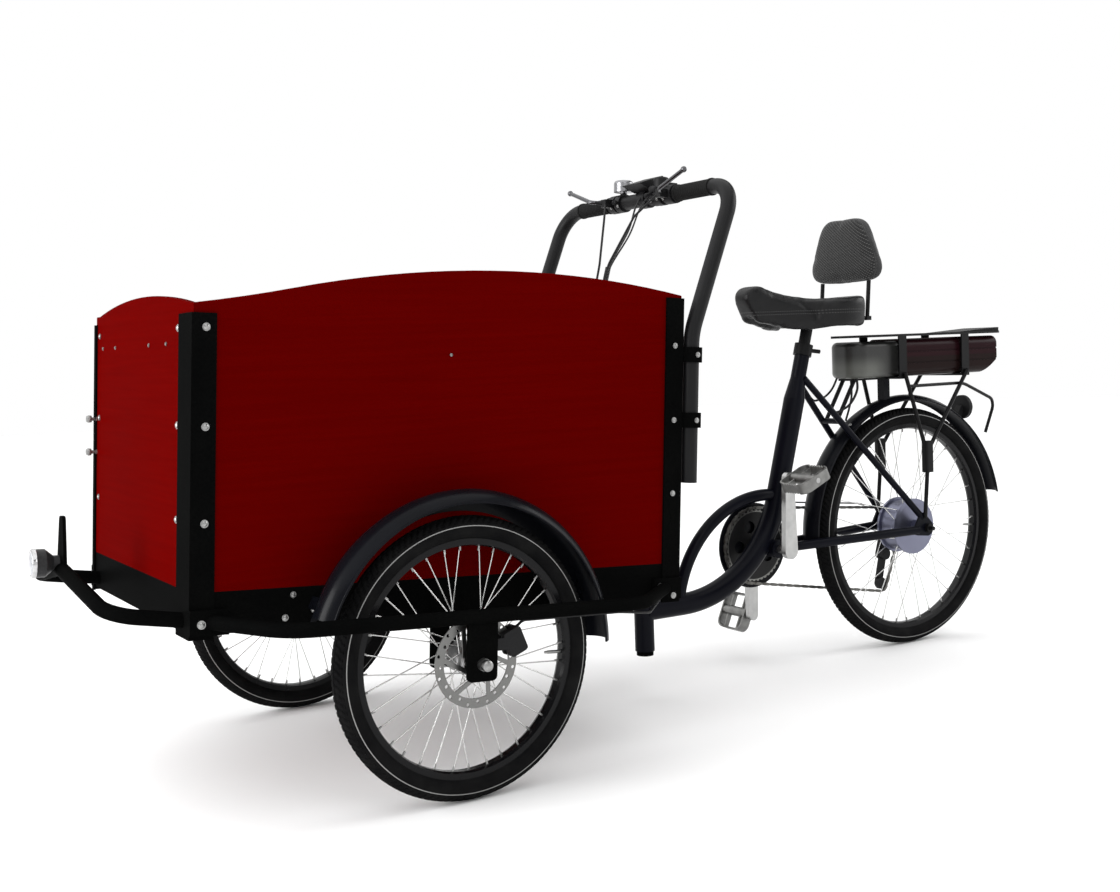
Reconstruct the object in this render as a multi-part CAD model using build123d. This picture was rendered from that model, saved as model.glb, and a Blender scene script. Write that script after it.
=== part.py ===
"""Electric cargo tricycle: a plywood load box on two front wheels that steers as one unit about a
vertical spindle ahead of a bent-tube rear frame with saddle, pedals and a rack battery.

Millimetres. +X runs forward, +Y to the rider's left, +Z up, the floor is Z = 0.  Every piece is drawn
with X = 0 on the front axle; the box unit is drawn level and then pitched about that axle.
"""
import os
from math import cos, radians, sin

from build123d import *

# Layout
TRACK = 794.0               # between the middles of the two front tyres
FRONT_WHEEL_R = 250.0
REAR_WHEEL_R = 300.0
BOX_PITCH = 3.5             # nose-up pitch of the load box, degrees
RUN_GAP = 0.05              # radial running clearance of a shaft in its bore
SEAT_GAP = 0.1              # radial gap of a fixed sleeve or post
END_GAP = 1.0               # end float beside a hub or a bearing

# Wheels
TYRE_HALF_W = 23.5
TYRE_DEPTH = 46.0           # from the bead seat out to the tread
TREAD_DROP = 6.5
SHOULDER_IN = 6.0
RIM_HALF_W = 14.0
RIM_WALL = 2.5
RIM_FLANGE = 7.0
RIM_DEPTH = 7.0             # from the bead seat in to the spoke bed
SPOKES = 36
SPOKE_R = 1.1
SPOKE_OFFSET = 1.9          # spokes lie on both faces of their flange
SPOKE_HOLE_IN = 3.0         # from the flange's rim in to its spoke holes
FLANGE_T = 3.0
FRONT_AXLE_R = 6.0
FRONT_HUB_R = 16.0
FRONT_FLANGE_R = 27.0
FRONT_FLANGE_Y = 22.0
FRONT_HUB_HALF = 47.0
FRONT_CROSS = 60.0          # degrees that a front spoke runs round from its hub hole
ROTOR_R = 80.0
ROTOR_BAND = 17.0
ROTOR_T = 2.0
ROTOR_Y = 40.0              # outward from the middle of the wheel
ROTOR_BOSS_R = 24.0
ROTOR_ARMS = 6
ROTOR_ARM_W = 8.0
ROTOR_ARM_LEAN = 30.0
ROTOR_HOLES = 24
ROTOR_HOLE_R = 3.0
REAR_AXLE_R = 5.0
MOTOR_R = 64.0
REAR_FLANGE_R = 70.0
REAR_FLANGE_Y = 26.0
REAR_HUB_R = 17.0
REAR_HUB_HALF = 64.0
REAR_CROSS = 22.0
SPROCKET_T = 2.4
SPROCKET_PITCH = 4.6
SPROCKET_Y = -38.0          # middle of the largest sprocket
SPROCKETS = [(52, 32), (47, 28), (42, 26), (37, 22), (31, 18)]   # tip radius, teeth

# Load box
BOX_FRONT_X = 464.0
BOX_LENGTH = 984.0
BOX_WIDTH = 635.0
PANEL_T = 15.0
PANEL_Z = 381.0             # lower edge of the panels
PANEL_ROUND = 3.0           # on the sawn upper edges
FRONT_TOP_Z = 852.0         # side panel's upper corner at the front
REAR_TOP_Z = 912.0
CREST_BACK = 654.0          # from the front panel back to the crest of a side panel
CREST_Z = 938.0
DIP_BACK = 174.0            # where the crest's arc turns into the hollow at the front
DIP_Z = 885.0
FRONT_ARCH = 24.0
REAR_ARCH = 8.0
FLOOR_T = 12.0
BASE_H = 70.0
BASE_W = 38.0
CROSS_XS = (0.0, -260.0)    # middle crossmembers
POST_LEG = 42.0             # along the side panel
POST_FACES = (72.0, 14.0)   # legs of the left and right front posts across the front panel
POST_T = 4.0
FRONT_POST_TOP = 836.0
REAR_POST_TOP = 906.0
POST_UNDER = 7.0            # posts below the end shoes of the outer rails

# Running gear of the box
RAIL_R = 12.5
RAIL_UP = 82.0              # outer rail above the axle
RAIL_OUT = 61.0             # outward from the wheel's middle
RAIL_FRONT_IN = 114.0       # from the box's ends to the corners of the outer rail
RAIL_REAR_IN = 180.0
RAIL_BEND = 80.0
SHOE_T = 6.0
SHOE_H = 42.0
SHOE_L = 66.0
PLATE_W = 58.0
PLATE_T = 6.0
PLATE_DROP = 30.0           # below the axle
SPACER_R = 10.0
NUT_R = 11.0
NUT_T = 9.0
GUARD_OUT = 46.0            # crown of the front mudguard outside the tread
GUARD_HALF_W = 35.0
GUARD_SAG = 20.0
GUARD_T = 2.5
GUARD_BEAD_R = 2.2          # rolled edge
GUARD_SPAN = (17.5, 177.5)  # degrees up from forward
STAY_ANGLES = (22.0, 90.0, 158.0)
STAY_W = 22.0
STAY_T = 4.0
CALIPER_SLOT = 12.0
CALIPER_ANGLE = 155.0       # degrees round from forward
CALIPER_L = 46.0
CALIPER_IN = 22.0           # of the caliper's body inside and outside the rotor's rim
CALIPER_OUT = 14.0

# Bumper and headlamp
BUMPER_R = 13.0
BUMPER_REACH = 120.0        # ahead of the box
BUMPER_HALF = 268.0
BUMPER_ROOT_Z = 330.0
BUMPER_RISE = 16.0          # of the corners above the root, and of the nose ahead of the corners
BUMPER_TIP_Z = 392.0
BUMPER_BEND = 60.0
BRACKET_FOOT_W = 60.0
BRACKET_TOP_W = 26.0
BRACKET_T = 6.0
BRACKET_TOP_Z = 484.0
LAMP_R = 25.0
LAMP_L = 36.0
LAMP_NECK_R = 13.0
LAMP_Z = 402.0

# Handlebar
BAR_R = 16.0
BAR_BACK = 105.0            # from the legs back to the crossbar
BAR_Z = 1148.0
BAR_WIDTH = 633.0
BAR_BEND = 66.0
LEG_BACK = 27.0             # from the box's rear face back to the legs
LEG_FOOT_Z = 540.0
LEG_KNEE_Z = 838.0
LEG_BEND = 150.0
CLAMP_ZS = (665.0, 795.0)
CLAMP_H = 30.0
CLAMP_R = 22.0
GRIP_R = 18.5
GRIP_L = 118.0
GRIP_IN = 126.0             # inner end of a grip from the middle
LEVER_Y = 104.0
LEVER_R = 4.5
LEVER_OUT = 55.0
LEVER_L = 112.0
LEVER_RISE = 34.0
LEVER_ARM = 38.0            # from the bar forward to the lever's pivot
LEVER_ARM_W = 18.0
RING_R = 20.5
RING_W = 22.0
BELL_Y = -78.0
BELL_R = 22.0
BELL_H = 26.0
SCREEN_Y = 14.0
SCREEN_HALF_W = 33.0
POD_Y = 72.0                # gear shifter beside the left lever
POD_R = 17.0
POD_H = 24.0
CABLE_R = 2.5
CABLE_Y = 8.0
CABLE_LOW_Y = 46.0

# Steering spindle
STEER_BACK = 150.0          # behind the box
SPINDLE_R = 15.0
HEAD_R = 22.0
HEAD_LOW_Z = 97.0
HEAD_TOP_Z = 230.0
BOSS_R = 32.0
BOSS_H = 36.0
ARM_W = 60.0
ARM_H = 30.0
ARM_UNDER = 280.0           # length of the steering arm under the box

# Rear frame
MAIN_R = 25.0
MAIN_Z = 188.0
MAIN_RUN = 339.0            # from the spindle back to where the seat tube's line meets the main tube's
SEAT_ANGLE = 74.6
MAIN_BEND = 300.0
MAIN_TOP_Z = 640.0
TAPER_Z = 690.0
SEAT_TUBE_R = 18.0
SEAT_TUBE_TOP_Z = 768.0
POST_R = 14.0
POST_TOP_Z = 832.0
POST_IN = 110.0             # length of the seat post inside the seat tube
BRACE_R = 14.0
BRACE_ARC_R = 262.0
BRACE_BACK = 19.0           # middle of the brace's arc behind the seat tube's foot
BRACE_Z = 156.0
BRACE_SPAN = (4.0, 104.0)   # degrees up from forward
CRANK_BACK = 35.0           # crank axle behind the seat tube's foot
CRANK_Z = 290.0
SHELL_R = 21.0
SHELL_HALF = 35.0
CHAINSTAY_RUN = 454.0       # from the crank axle back to the rear axle
STAY_R = 11.0
STAY_IN_Y = 30.0
DROP_Y = 72.0
DROP_T = 6.0
DROP_R = 20.0
SEAT_STAY_R = 8.0
SEAT_STAY_TOP_Z = 690.0
SEAT_STAY_IN_Y = 20.0
BRIDGE_AT = 0.30
BRIDGE_R = 7.0

# Cranks, pedals and chain
SPINDLE_BB_R = 9.0
CRANK_L = 172.0
CRANK_IN_Y = 64.0
CRANK_T = 14.0
CRANK_BOSS_R = 19.0
CRANK_EYE_R = 13.0
PEDAL_PIN_R = 6.0
PEDAL_W = 88.0
PEDAL_LEN = 92.0
PEDAL_H = 26.0
PEDAL_GAP = 7.0
PEDAL_CORNER = 20.0
PEDAL_BARREL_R = 12.0
CAGE_T = 4.0
CAGE_TEETH = 6
CAGE_NOTCH = 6.0
PEDAL_TILTS = (24.0, 66.0)  # nose-down rest of the left and right pedal, degrees
CHAIN_Y = -54.0
CHAIN_W = 7.0               # over the outer plates
CHAIN_CORE_W = 5.0          # over the inner plates
CHAIN_T = 7.0
CHAIN_WAIST = 4.4
CHAIN_PITCH = 12.7
PLATE_END = 3.4             # outer plate beyond its pins
CHAIN_GAP = 1.0
RING_TEETH = 44
RING_TIP_R = 87.0
TOOTH_DEPTH = 4.0
RING_WINDOWS = 5
WINDOW_R = 15.0
WINDOW_RING_R = 48.0
DISC_R = 103.0
DISC_Y = -62.0
DISC_T = 3.0
JOCKEY_R = 17.0
JOCKEY_TOP_AT = (18.0, 222.0)   # ahead of the rear axle, height
JOCKEY_LOW_AT = (36.0, 148.0)
COVER_BACK = (121.0, 341.0)     # behind the crank axle
COVER_Z = (386.0, 364.0)
COVER_Y = (-58.5, -41.0)    # between the right crank's sweep and the chainstay
COVER_T = 3.0
COVER_TAB_BACK = 181.0

# Saddle and backrest
SADDLE_AHEAD = 40.0         # nose ahead of the seat tube's foot
SADDLE_L = 322.0
SADDLE_HALF_W = 118.0
SADDLE_TOP_Z = 909.0
SADDLE_SEAT_Z = 880.0       # rear of the seat
SADDLE_LOW_Z = 838.0        # underside of the foam on its springs
SKIRT_Z = 806.0
SKIRT_T = 18.0
BACK_BEHIND = 25.0          # middle of the backrest behind the saddle
BACK_Z = (921.0, 1072.0)
BACK_HALF_W = 120.0
BACK_T = 42.0
BACK_ROD_R = 5.0
BACK_ROD_Y = 79.0
PAD_SEAT = 0.8              # rod ends under the backrest
RAIL_DROP = 9.0             # saddle rails under the foam
SPRING_R = 16.0
SPRING_Y = 66.0
SPRING_AT = 0.74            # share of the saddle's length

# Rack, battery and rear mudguard; places from the rear axle, forward positive
DECK_Z = 782.0
DECK_T = 6.0
DECK_AT = (176.0, -302.0)
DECK_HALF_W = 68.0
DECK_CORNERS = (58.0, 26.0) # radius at the front and rear corners
DECK_SLOT_YS = (-36.0, 0.0, 36.0)
DECK_SLOT_W = 18.0
TAIL_WEDGE = (158.0, 9.0)   # length and height of the raised end of the deck
HANGERS_AT = (66.0, -157.0)
HANGER_W = 26.0
HANGER_T = 4.0
TRAY_Z = 682.0
TRAY_T = 5.0
TRAY_FRONT_AT = 196.0
TRAY_HALF_W = 24.0
BATTERY_AT = (60.0, -286.0)
BATTERY_HALF_W = 58.0
BATTERY_CUT = (50.0, 34.0)  # slope at the lower rear corner
BATTERY_GROOVES = (716.0, 744.0)
GROOVE_W = 4.0
CONTROL_FRONT_AT = 212.0
CONTROL_NOSE = 40.0         # radius of its front corners, from above
HOUSING_GAP = 0.3           # between controller and battery
CONTROL_HALF_W = 52.0
LEG_R = 5.0
LEG_BLOCK_AT = (1.0, 80.0, 480.0)
LEG_BLOCK_SIZE = (26.0, 20.0, 78.0)
LEG_TOE = 6.0
HOOP_TAIL_AT = (-292.0, 44.0, 606.0)
HOOP_END_AT = (-270.0, 30.0, 522.0)
HOOP_BENDS = (120.0, 30.0)
HOOP_DROP = 24.0            # start of the hoop on the front leg, below the tray
REAR_GUARD_OUT = 34.0
REAR_GUARD_HALF_W = 27.0
REAR_GUARD_SAG = 11.0
REAR_GUARD_SPAN = (53.0, 169.0)
TAIL_ANGLE = 126.0
TAIL_OUT = 26.0
TAIL_R = 31.0
TAIL_T = 18.0

# Places that follow from the sizes
BOX_REAR_X = BOX_FRONT_X - BOX_LENGTH
LEG_X = BOX_REAR_X - LEG_BACK
BAR_X = LEG_X - BAR_BACK
STEER_X = BOX_REAR_X - STEER_BACK
SEAT_FOOT_X = STEER_X - MAIN_RUN
CRANK_X = SEAT_FOOT_X - CRANK_BACK
REAR_AXLE_X = CRANK_X - CHAINSTAY_RUN
SADDLE_NOSE_X = SEAT_FOOT_X + SADDLE_AHEAD
SADDLE_REAR_X = SADDLE_NOSE_X - SADDLE_L
BACK_X = SADDLE_REAR_X - BACK_BEHIND
HALF_BOX = BOX_WIDTH / 2
WHEEL_Y = TRACK / 2
RAIL_Y = WHEEL_Y + RAIL_OUT
RAIL_Z = FRONT_WHEEL_R + RAIL_UP
POST_FOOT = RAIL_Z - SHOE_H / 2 - POST_UNDER
BASE_Z = PANEL_Z - BASE_H
GUARD_R = FRONT_WHEEL_R + GUARD_OUT
REAR_GUARD_R = REAR_WHEEL_R + REAR_GUARD_OUT
FRONT_BEAD_R = FRONT_WHEEL_R - TYRE_DEPTH
REAR_BEAD_R = REAR_WHEEL_R - TYRE_DEPTH
SEAT_DIR = (-cos(radians(SEAT_ANGLE)), sin(radians(SEAT_ANGLE)))
NOSE_X = BOX_FRONT_X + BUMPER_REACH + BUMPER_RISE
LAMP_FRONT_X = NOSE_X + BUMPER_R + LAMP_L
FRONT_REACH = LAMP_FRONT_X * cos(radians(BOX_PITCH)) - (LAMP_Z - FRONT_WHEEL_R) * sin(radians(BOX_PITCH))
REAR_REACH = REAR_GUARD_R * cos(radians(180 - REAR_GUARD_SPAN[1])) - REAR_AXLE_X
FRONT_AXLE_X = (REAR_REACH - FRONT_REACH) / 2   # from the middle of the whole vehicle to the front axle

PITCHED = Pos(0, 0, FRONT_WHEEL_R) * Rot(0, -BOX_PITCH, 0) * Pos(0, 0, -FRONT_WHEEL_R)
IN_ROW = Pos(FRONT_AXLE_X, 0, 0)


def block(x0, x1, y0, y1, z0, z1):
    """Box between two corners."""
    middle = Pos((x0 + x1) / 2, (y0 + y1) / 2, (z0 + z1) / 2)
    return middle * Box(abs(x1 - x0), abs(y1 - y0), abs(z1 - z0))


def slab(sketch, y0, y1):
    """Side view in X and Z given thickness from y0 to y1."""
    return Pos(0, y1, 0) * extrude(Plane.XZ * sketch, amount=y1 - y0)


def rod(radius, start, end):
    """Straight round bar."""
    a, b = Vector(start), Vector(end)
    return Part() + Solid.make_cylinder(radius, (b - a).length, Plane(origin=a, z_dir=b - a))


def tube(radius, points, bends):
    """Round bar along straight runs and tangent bends."""
    path = FilletPolyline(*points, radius=bends)
    return sweep(Plane(origin=path @ 0, z_dir=path % 0) * Circle(radius), path=path)


def pin_y(radius, x, z, y0, y1):
    """Round bar along Y."""
    return rod(radius, (x, y0, z), (x, y1, z))


def both_sides(piece):
    """The piece and its mirror image on the other side of the vehicle."""
    return Part() + [piece, mirror(piece, about=Plane.XZ)]


def on_seat(z):
    """X of the seat tube's centre line at a height."""
    return SEAT_FOOT_X + (z - MAIN_Z) * SEAT_DIR[0] / SEAT_DIR[1]


def hull_plate(circles):
    """Flat outline wrapped round circles given as x, z, radius."""
    edges = [Pos(x, z) * Edge.make_circle(r) for x, z, r in circles]
    return make_hull(edges)


def turned(points):
    """Solid of revolution about Y from radius and Y pairs."""
    return revolve(make_face(Polyline(*points, close=True)), axis=Axis.Y)


def mudguard(crown_r, half_w, sag, first, last):
    """Crowned strip with rolled edges over a wheel from one angle to another, angles up from forward."""
    def arc(drop):
        edge_r = crown_r - sag - drop
        return (edge_r, -half_w), (crown_r - drop, 0), (edge_r, half_w)
    outer, inner = arc(0), arc(GUARD_T)
    outline = ThreePointArc(*outer) + Line(outer[2], inner[2])
    outline += ThreePointArc(*inner[::-1]) + Line(inner[0], outer[0])
    section = make_face(outline)
    section += [Pos(outer[0][0] - GUARD_T / 2, y) * Circle(GUARD_BEAD_R) for y in (-half_w, half_w)]
    strip = revolve(section, axis=Axis.Y, revolution_arc=-(last - first))
    return Rot(0, -first, 0) * strip


def tyre(wheel_r):
    """Solid tyre of round section seated in the rim's well."""
    bead = wheel_r - TYRE_DEPTH
    lip = bead + RIM_FLANGE
    seat = RIM_HALF_W - RIM_WALL
    shoulder = (wheel_r - TREAD_DROP, TYRE_HALF_W - SHOULDER_IN)
    wall_r = (lip + shoulder[0]) / 2
    outline = Polyline((lip, -seat), (bead, -seat), (bead, seat), (lip, seat))
    outline += ThreePointArc((lip, seat), (wall_r, TYRE_HALF_W), shoulder)
    outline += ThreePointArc(shoulder, (wheel_r, 0), (shoulder[0], -shoulder[1]))
    outline += ThreePointArc((shoulder[0], -shoulder[1]), (wall_r, -TYRE_HALF_W), (lip, -seat))
    return revolve(make_face(outline), axis=Axis.Y)


def rim(bead):
    """Channel rim with a well for the tyre's beads."""
    seat = RIM_HALF_W - RIM_WALL
    lip = bead + RIM_FLANGE
    bed = bead - RIM_DEPTH
    half = [(bed, RIM_HALF_W / 2), (bed + RIM_WALL, RIM_HALF_W), (lip, RIM_HALF_W), (lip, seat), (bead, seat)]
    return turned(half + [(r, -y) for r, y in reversed(half)])


def spokes(bead, flange_r, flange_y, cross):
    """Laced spokes between two flanges and the rim's bed."""
    laced = []
    for n in range(SPOKES):
        side = 1 if n % 2 == 0 else -1
        lean = 1 if (n // 2) % 2 == 0 else -1
        at_rim = radians(360 * n / SPOKES)
        at_hub = at_rim - lean * radians(cross)
        hole_r = flange_r - SPOKE_HOLE_IN
        foot_y = side * (flange_y + lean * SPOKE_OFFSET)
        foot = (hole_r * cos(at_hub), foot_y, hole_r * sin(at_hub))
        tip_r = bead - RIM_DEPTH / 2
        tip = (tip_r * cos(at_rim), side * RIM_HALF_W / 5, tip_r * sin(at_rim))
        laced.append(rod(SPOKE_R, foot, tip))
    return laced


def front_hub():
    """Hub shell with two spoke flanges and a boss for the brake rotor."""
    bore = FRONT_AXLE_R + RUN_GAP
    f0 = FRONT_FLANGE_Y - FLANGE_T
    f1 = FRONT_FLANGE_Y + FLANGE_T
    rotor = ROTOR_Y - ROTOR_T / 2
    return turned([
        (bore, -FRONT_HUB_HALF), (FRONT_HUB_R - 3, -FRONT_HUB_HALF), (FRONT_HUB_R, -f1),
        (FRONT_FLANGE_R, -f1), (FRONT_FLANGE_R, -f0), (FRONT_HUB_R, -f0), (FRONT_HUB_R, f0),
        (FRONT_FLANGE_R, f0), (FRONT_FLANGE_R, f1), (ROTOR_BOSS_R, f1), (ROTOR_BOSS_R, rotor),
        (FRONT_HUB_R, rotor), (FRONT_HUB_R - 3, FRONT_HUB_HALF), (bore, FRONT_HUB_HALF),
    ])


def rear_hub():
    """Hub motor: a wide drum with domed covers, spoke flanges and bearing necks."""
    bore = REAR_AXLE_R + RUN_GAP
    f0 = REAR_FLANGE_Y - FLANGE_T
    f1 = REAR_FLANGE_Y + FLANGE_T
    step = REAR_HUB_R + 14
    half = [
        (MOTOR_R, f0), (REAR_FLANGE_R, f0), (REAR_FLANGE_R, f1), (MOTOR_R - 4, f1),
        (step, f1 + 4), (REAR_HUB_R, f1 + 5), (REAR_HUB_R, REAR_HUB_HALF), (bore, REAR_HUB_HALF),
    ]
    return turned([(r, -y) for r, y in reversed(half)] + half)


def toothed(tip_r, teeth, depth):
    """Sprocket outline: a disc with round gullets."""
    outline = Circle(tip_r)
    gullet = Circle(depth)
    return outline - [Rot(0, 0, 360 * n / teeth) * Pos(tip_r, 0) * gullet for n in range(teeth)]


def wire_wheel(bead, hub, flange_r, flange_y, cross):
    """Rim, spokes and hub as one laced wheel."""
    ring = rim(bead)
    return ring.fuse(hub, *spokes(bead, flange_r, flange_y, cross))


def rotor():
    """Ventilated brake rotor on its swept arms."""
    inner = ROTOR_R - ROTOR_BAND
    band_mid = ROTOR_R - ROTOR_BAND / 2
    face = Circle(ROTOR_R) - Circle(inner)
    face += Circle(ROTOR_BOSS_R) - Circle(FRONT_HUB_R)
    arm = Rectangle(inner - ROTOR_BOSS_R + 2 * ROTOR_ARM_W, ROTOR_ARM_W)
    arm = Pos((inner + ROTOR_BOSS_R) / 2, 0) * Rot(0, 0, ROTOR_ARM_LEAN) * arm
    face += [Rot(0, 0, 360 * n / ROTOR_ARMS) * arm for n in range(ROTOR_ARMS)]
    face -= Circle(FRONT_HUB_R)
    for n in range(ROTOR_HOLES):
        hole_at = band_mid + (ROTOR_HOLE_R if n % 2 else -ROTOR_HOLE_R)
        face -= Rot(0, 0, 360 * n / ROTOR_HOLES) * Pos(hole_at, 0) * Circle(ROTOR_HOLE_R)
    return slab(face, ROTOR_Y - ROTOR_T / 2, ROTOR_Y + ROTOR_T / 2)


parts = {}

# Wheels
front_wheel = wire_wheel(FRONT_BEAD_R, front_hub(), FRONT_FLANGE_R, FRONT_FLANGE_Y, FRONT_CROSS)
front_tyre = tyre(FRONT_WHEEL_R)
front_rotor = rotor()
AT_LEFT = Pos(0, WHEEL_Y, FRONT_WHEEL_R)
for side in ("left", "right"):
    for name, piece in (("tyre", front_tyre), ("wheel", front_wheel), ("rotor", front_rotor)):
        placed = AT_LEFT * piece
        parts[f"{name}_{side}"] = placed if side == "left" else mirror(placed, about=Plane.XZ)

AT_REAR = Pos(REAR_AXLE_X, 0, REAR_WHEEL_R)
parts["tyre_rear"] = AT_REAR * tyre(REAR_WHEEL_R)
rear_wheel = wire_wheel(REAR_BEAD_R, rear_hub(), REAR_FLANGE_R, REAR_FLANGE_Y, REAR_CROSS)
parts["wheel_rear"] = AT_REAR * rear_wheel
cassette = Part()
for n, (tip_r, teeth) in enumerate(SPROCKETS):
    y_mid = SPROCKET_Y - n * SPROCKET_PITCH
    ring_face = toothed(tip_r, teeth, SPROCKET_T) - Circle(REAR_HUB_R)
    cassette += slab(ring_face, y_mid - SPROCKET_T / 2, y_mid + SPROCKET_T / 2)
    if n:
        cassette += slab(Circle(REAR_HUB_R + 8) - Circle(REAR_HUB_R), y_mid, y_mid + SPROCKET_PITCH)
parts["cassette"] = AT_REAR * cassette

# Load box
FRONT_IN_X = BOX_FRONT_X - PANEL_T
REAR_IN_X = BOX_REAR_X + PANEL_T
INNER_HALF = HALF_BOX - PANEL_T


def rounded_top(panel):
    """Sawn upper edges of a panel, rounded over on both faces."""
    return fillet(panel.edges().filter_by(GeomType.CIRCLE), PANEL_ROUND)


def side_panel():
    """Side wall whose upper edge rises from a hollow at the front to a long crest."""
    crest = (BOX_FRONT_X - CREST_BACK, CREST_Z)
    dip = (BOX_FRONT_X - DIP_BACK, DIP_Z)
    front = (BOX_FRONT_X, FRONT_TOP_Z)
    rear = (BOX_REAR_X, REAR_TOP_Z)
    crown = ThreePointArc(rear, crest, dip)
    outline = crown + TangentArc(dip, front, tangent=crown % 1)
    outline += Polyline(front, (BOX_FRONT_X, PANEL_Z), (BOX_REAR_X, PANEL_Z), rear)
    return rounded_top(slab(make_face(outline), INNER_HALF, HALF_BOX))


def end_panel(x0, corner_z, arch):
    """Front or rear panel between the side panels, its upper edge arched."""
    outline = ThreePointArc((-INNER_HALF, corner_z), (0, corner_z + arch), (INNER_HALF, corner_z))
    outline += Polyline((INNER_HALF, corner_z), (INNER_HALF, PANEL_Z), (-INNER_HALF, PANEL_Z),
                        (-INNER_HALF, corner_z))
    return rounded_top(Pos(x0, 0, 0) * extrude(Plane.YZ * make_face(outline), amount=PANEL_T))


left_panel = side_panel()
box_unit = {}
box_unit["side_panel_left"] = left_panel
box_unit["side_panel_right"] = mirror(left_panel, about=Plane.XZ)
box_unit["front_panel"] = end_panel(FRONT_IN_X, FRONT_TOP_Z, FRONT_ARCH)
box_unit["rear_panel"] = end_panel(BOX_REAR_X, REAR_TOP_Z, REAR_ARCH)
box_unit["box_floor"] = block(REAR_IN_X, FRONT_IN_X, -INNER_HALF, INNER_HALF, PANEL_Z, PANEL_Z + FLOOR_T)

BASE_IN_Y = HALF_BOX - BASE_W
base_rail = block(BOX_REAR_X, BOX_FRONT_X, BASE_IN_Y, HALF_BOX, BASE_Z, PANEL_Z)
box_unit["base_rails"] = both_sides(base_rail)
cross_mids = (BOX_FRONT_X - BASE_W / 2, *CROSS_XS, BOX_REAR_X + BASE_W / 2)
crossbars = []
for x in cross_mids:
    crossbars.append(block(x - BASE_W / 2, x + BASE_W / 2, -BASE_IN_Y, BASE_IN_Y, BASE_Z, PANEL_Z))
box_unit["base_crossmembers"] = Part() + crossbars


def corner_post(x_face, forward, face_leg, z0, z1):
    """Angle-iron post wrapped round one corner, both legs outside the panels."""
    out_x = x_face + forward * POST_T
    leg_x = out_x - forward * POST_LEG
    out_y = HALF_BOX + POST_T
    outline = Polyline((out_x, out_y), (leg_x, out_y), (leg_x, HALF_BOX), (x_face, HALF_BOX),
                       (x_face, out_y - face_leg), (out_x, out_y - face_leg), close=True)
    return Pos(0, 0, z0) * extrude(make_face(outline), amount=z1 - z0)


front_posts = [corner_post(BOX_FRONT_X, 1, leg, POST_FOOT, FRONT_POST_TOP) for leg in POST_FACES]
rear_post = corner_post(BOX_REAR_X, -1, POST_LEG, POST_FOOT, REAR_POST_TOP)
box_unit["corner_posts_front"] = Part() + [front_posts[0], mirror(front_posts[1], about=Plane.XZ)]
box_unit["corner_posts_rear"] = both_sides(rear_post)

# Outer rails with their end shoes, and the plates that carry the front axles
POST_OUT_Y = HALF_BOX + POST_T
shoe_z = RAIL_Z - SHOE_H / 2
shoes = []
for end_x, inward in ((BOX_FRONT_X + POST_T, -SHOE_L), (BOX_REAR_X - POST_T, SHOE_L)):
    shoes.append(block(end_x, end_x + inward, POST_OUT_Y, POST_OUT_Y + SHOE_T, shoe_z, shoe_z + SHOE_H))
RAIL_REAR_X = BOX_REAR_X + RAIL_REAR_IN
RAIL_FRONT_X = BOX_FRONT_X - RAIL_FRONT_IN
rail_path = [(BOX_FRONT_X - SHOE_L / 2, POST_OUT_Y + 1, RAIL_Z), (RAIL_FRONT_X, RAIL_Y, RAIL_Z),
             (RAIL_REAR_X, RAIL_Y, RAIL_Z), (BOX_REAR_X + SHOE_L / 2, POST_OUT_Y + 1, RAIL_Z)]
behind_shoes = block(BOX_REAR_X - SHOE_L, BOX_FRONT_X + SHOE_L, BASE_IN_Y, POST_OUT_Y,
                     shoe_z - SHOE_H, shoe_z + 2 * SHOE_H)
rail = (tube(RAIL_R, rail_path, RAIL_BEND) - behind_shoes) + shoes
box_unit["outer_rails"] = both_sides(rail)


def axle_plate(top_z):
    """Plate that hangs to the axle, its foot rounded."""
    half = PLATE_W / 2
    low = FRONT_WHEEL_R - PLATE_DROP
    outline = Polyline((-half, top_z), (-half, low), (half, low), (half, top_z), close=True)
    face = make_face(outline)
    face = fillet(face.vertices().sort_by(Axis.Y)[:2], half / 3)
    return face - Pos(0, FRONT_WHEEL_R) * Circle(FRONT_AXLE_R + SEAT_GAP)


outer_plate = slab(axle_plate(RAIL_Z), RAIL_Y - PLATE_T / 2, RAIL_Y + PLATE_T / 2) - rail
inner_plate = slab(axle_plate(PANEL_Z - 4), HALF_BOX, HALF_BOX + PLATE_T)
box_unit["axle_plates"] = Part() + [both_sides(outer_plate), both_sides(inner_plate)]

spacer_in = (HALF_BOX + PLATE_T, WHEEL_Y - FRONT_HUB_HALF - END_GAP)
spacer_out = (WHEEL_Y + FRONT_HUB_HALF + END_GAP, RAIL_Y - PLATE_T / 2)
nut_out = (RAIL_Y + PLATE_T / 2, RAIL_Y + PLATE_T / 2 + NUT_T)
axle = pin_y(FRONT_AXLE_R, 0, FRONT_WHEEL_R, HALF_BOX, nut_out[1] + 4)
axle += pin_y(SPACER_R, 0, FRONT_WHEEL_R, *spacer_in)
axle += pin_y(SPACER_R, 0, FRONT_WHEEL_R, *spacer_out)
axle += pin_y(NUT_R, 0, FRONT_WHEEL_R, *nut_out)
axle += pin_y(NUT_R, 0, FRONT_WHEEL_R, HALF_BOX - NUT_T, HALF_BOX)
box_unit["front_axles"] = both_sides(axle)

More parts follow.
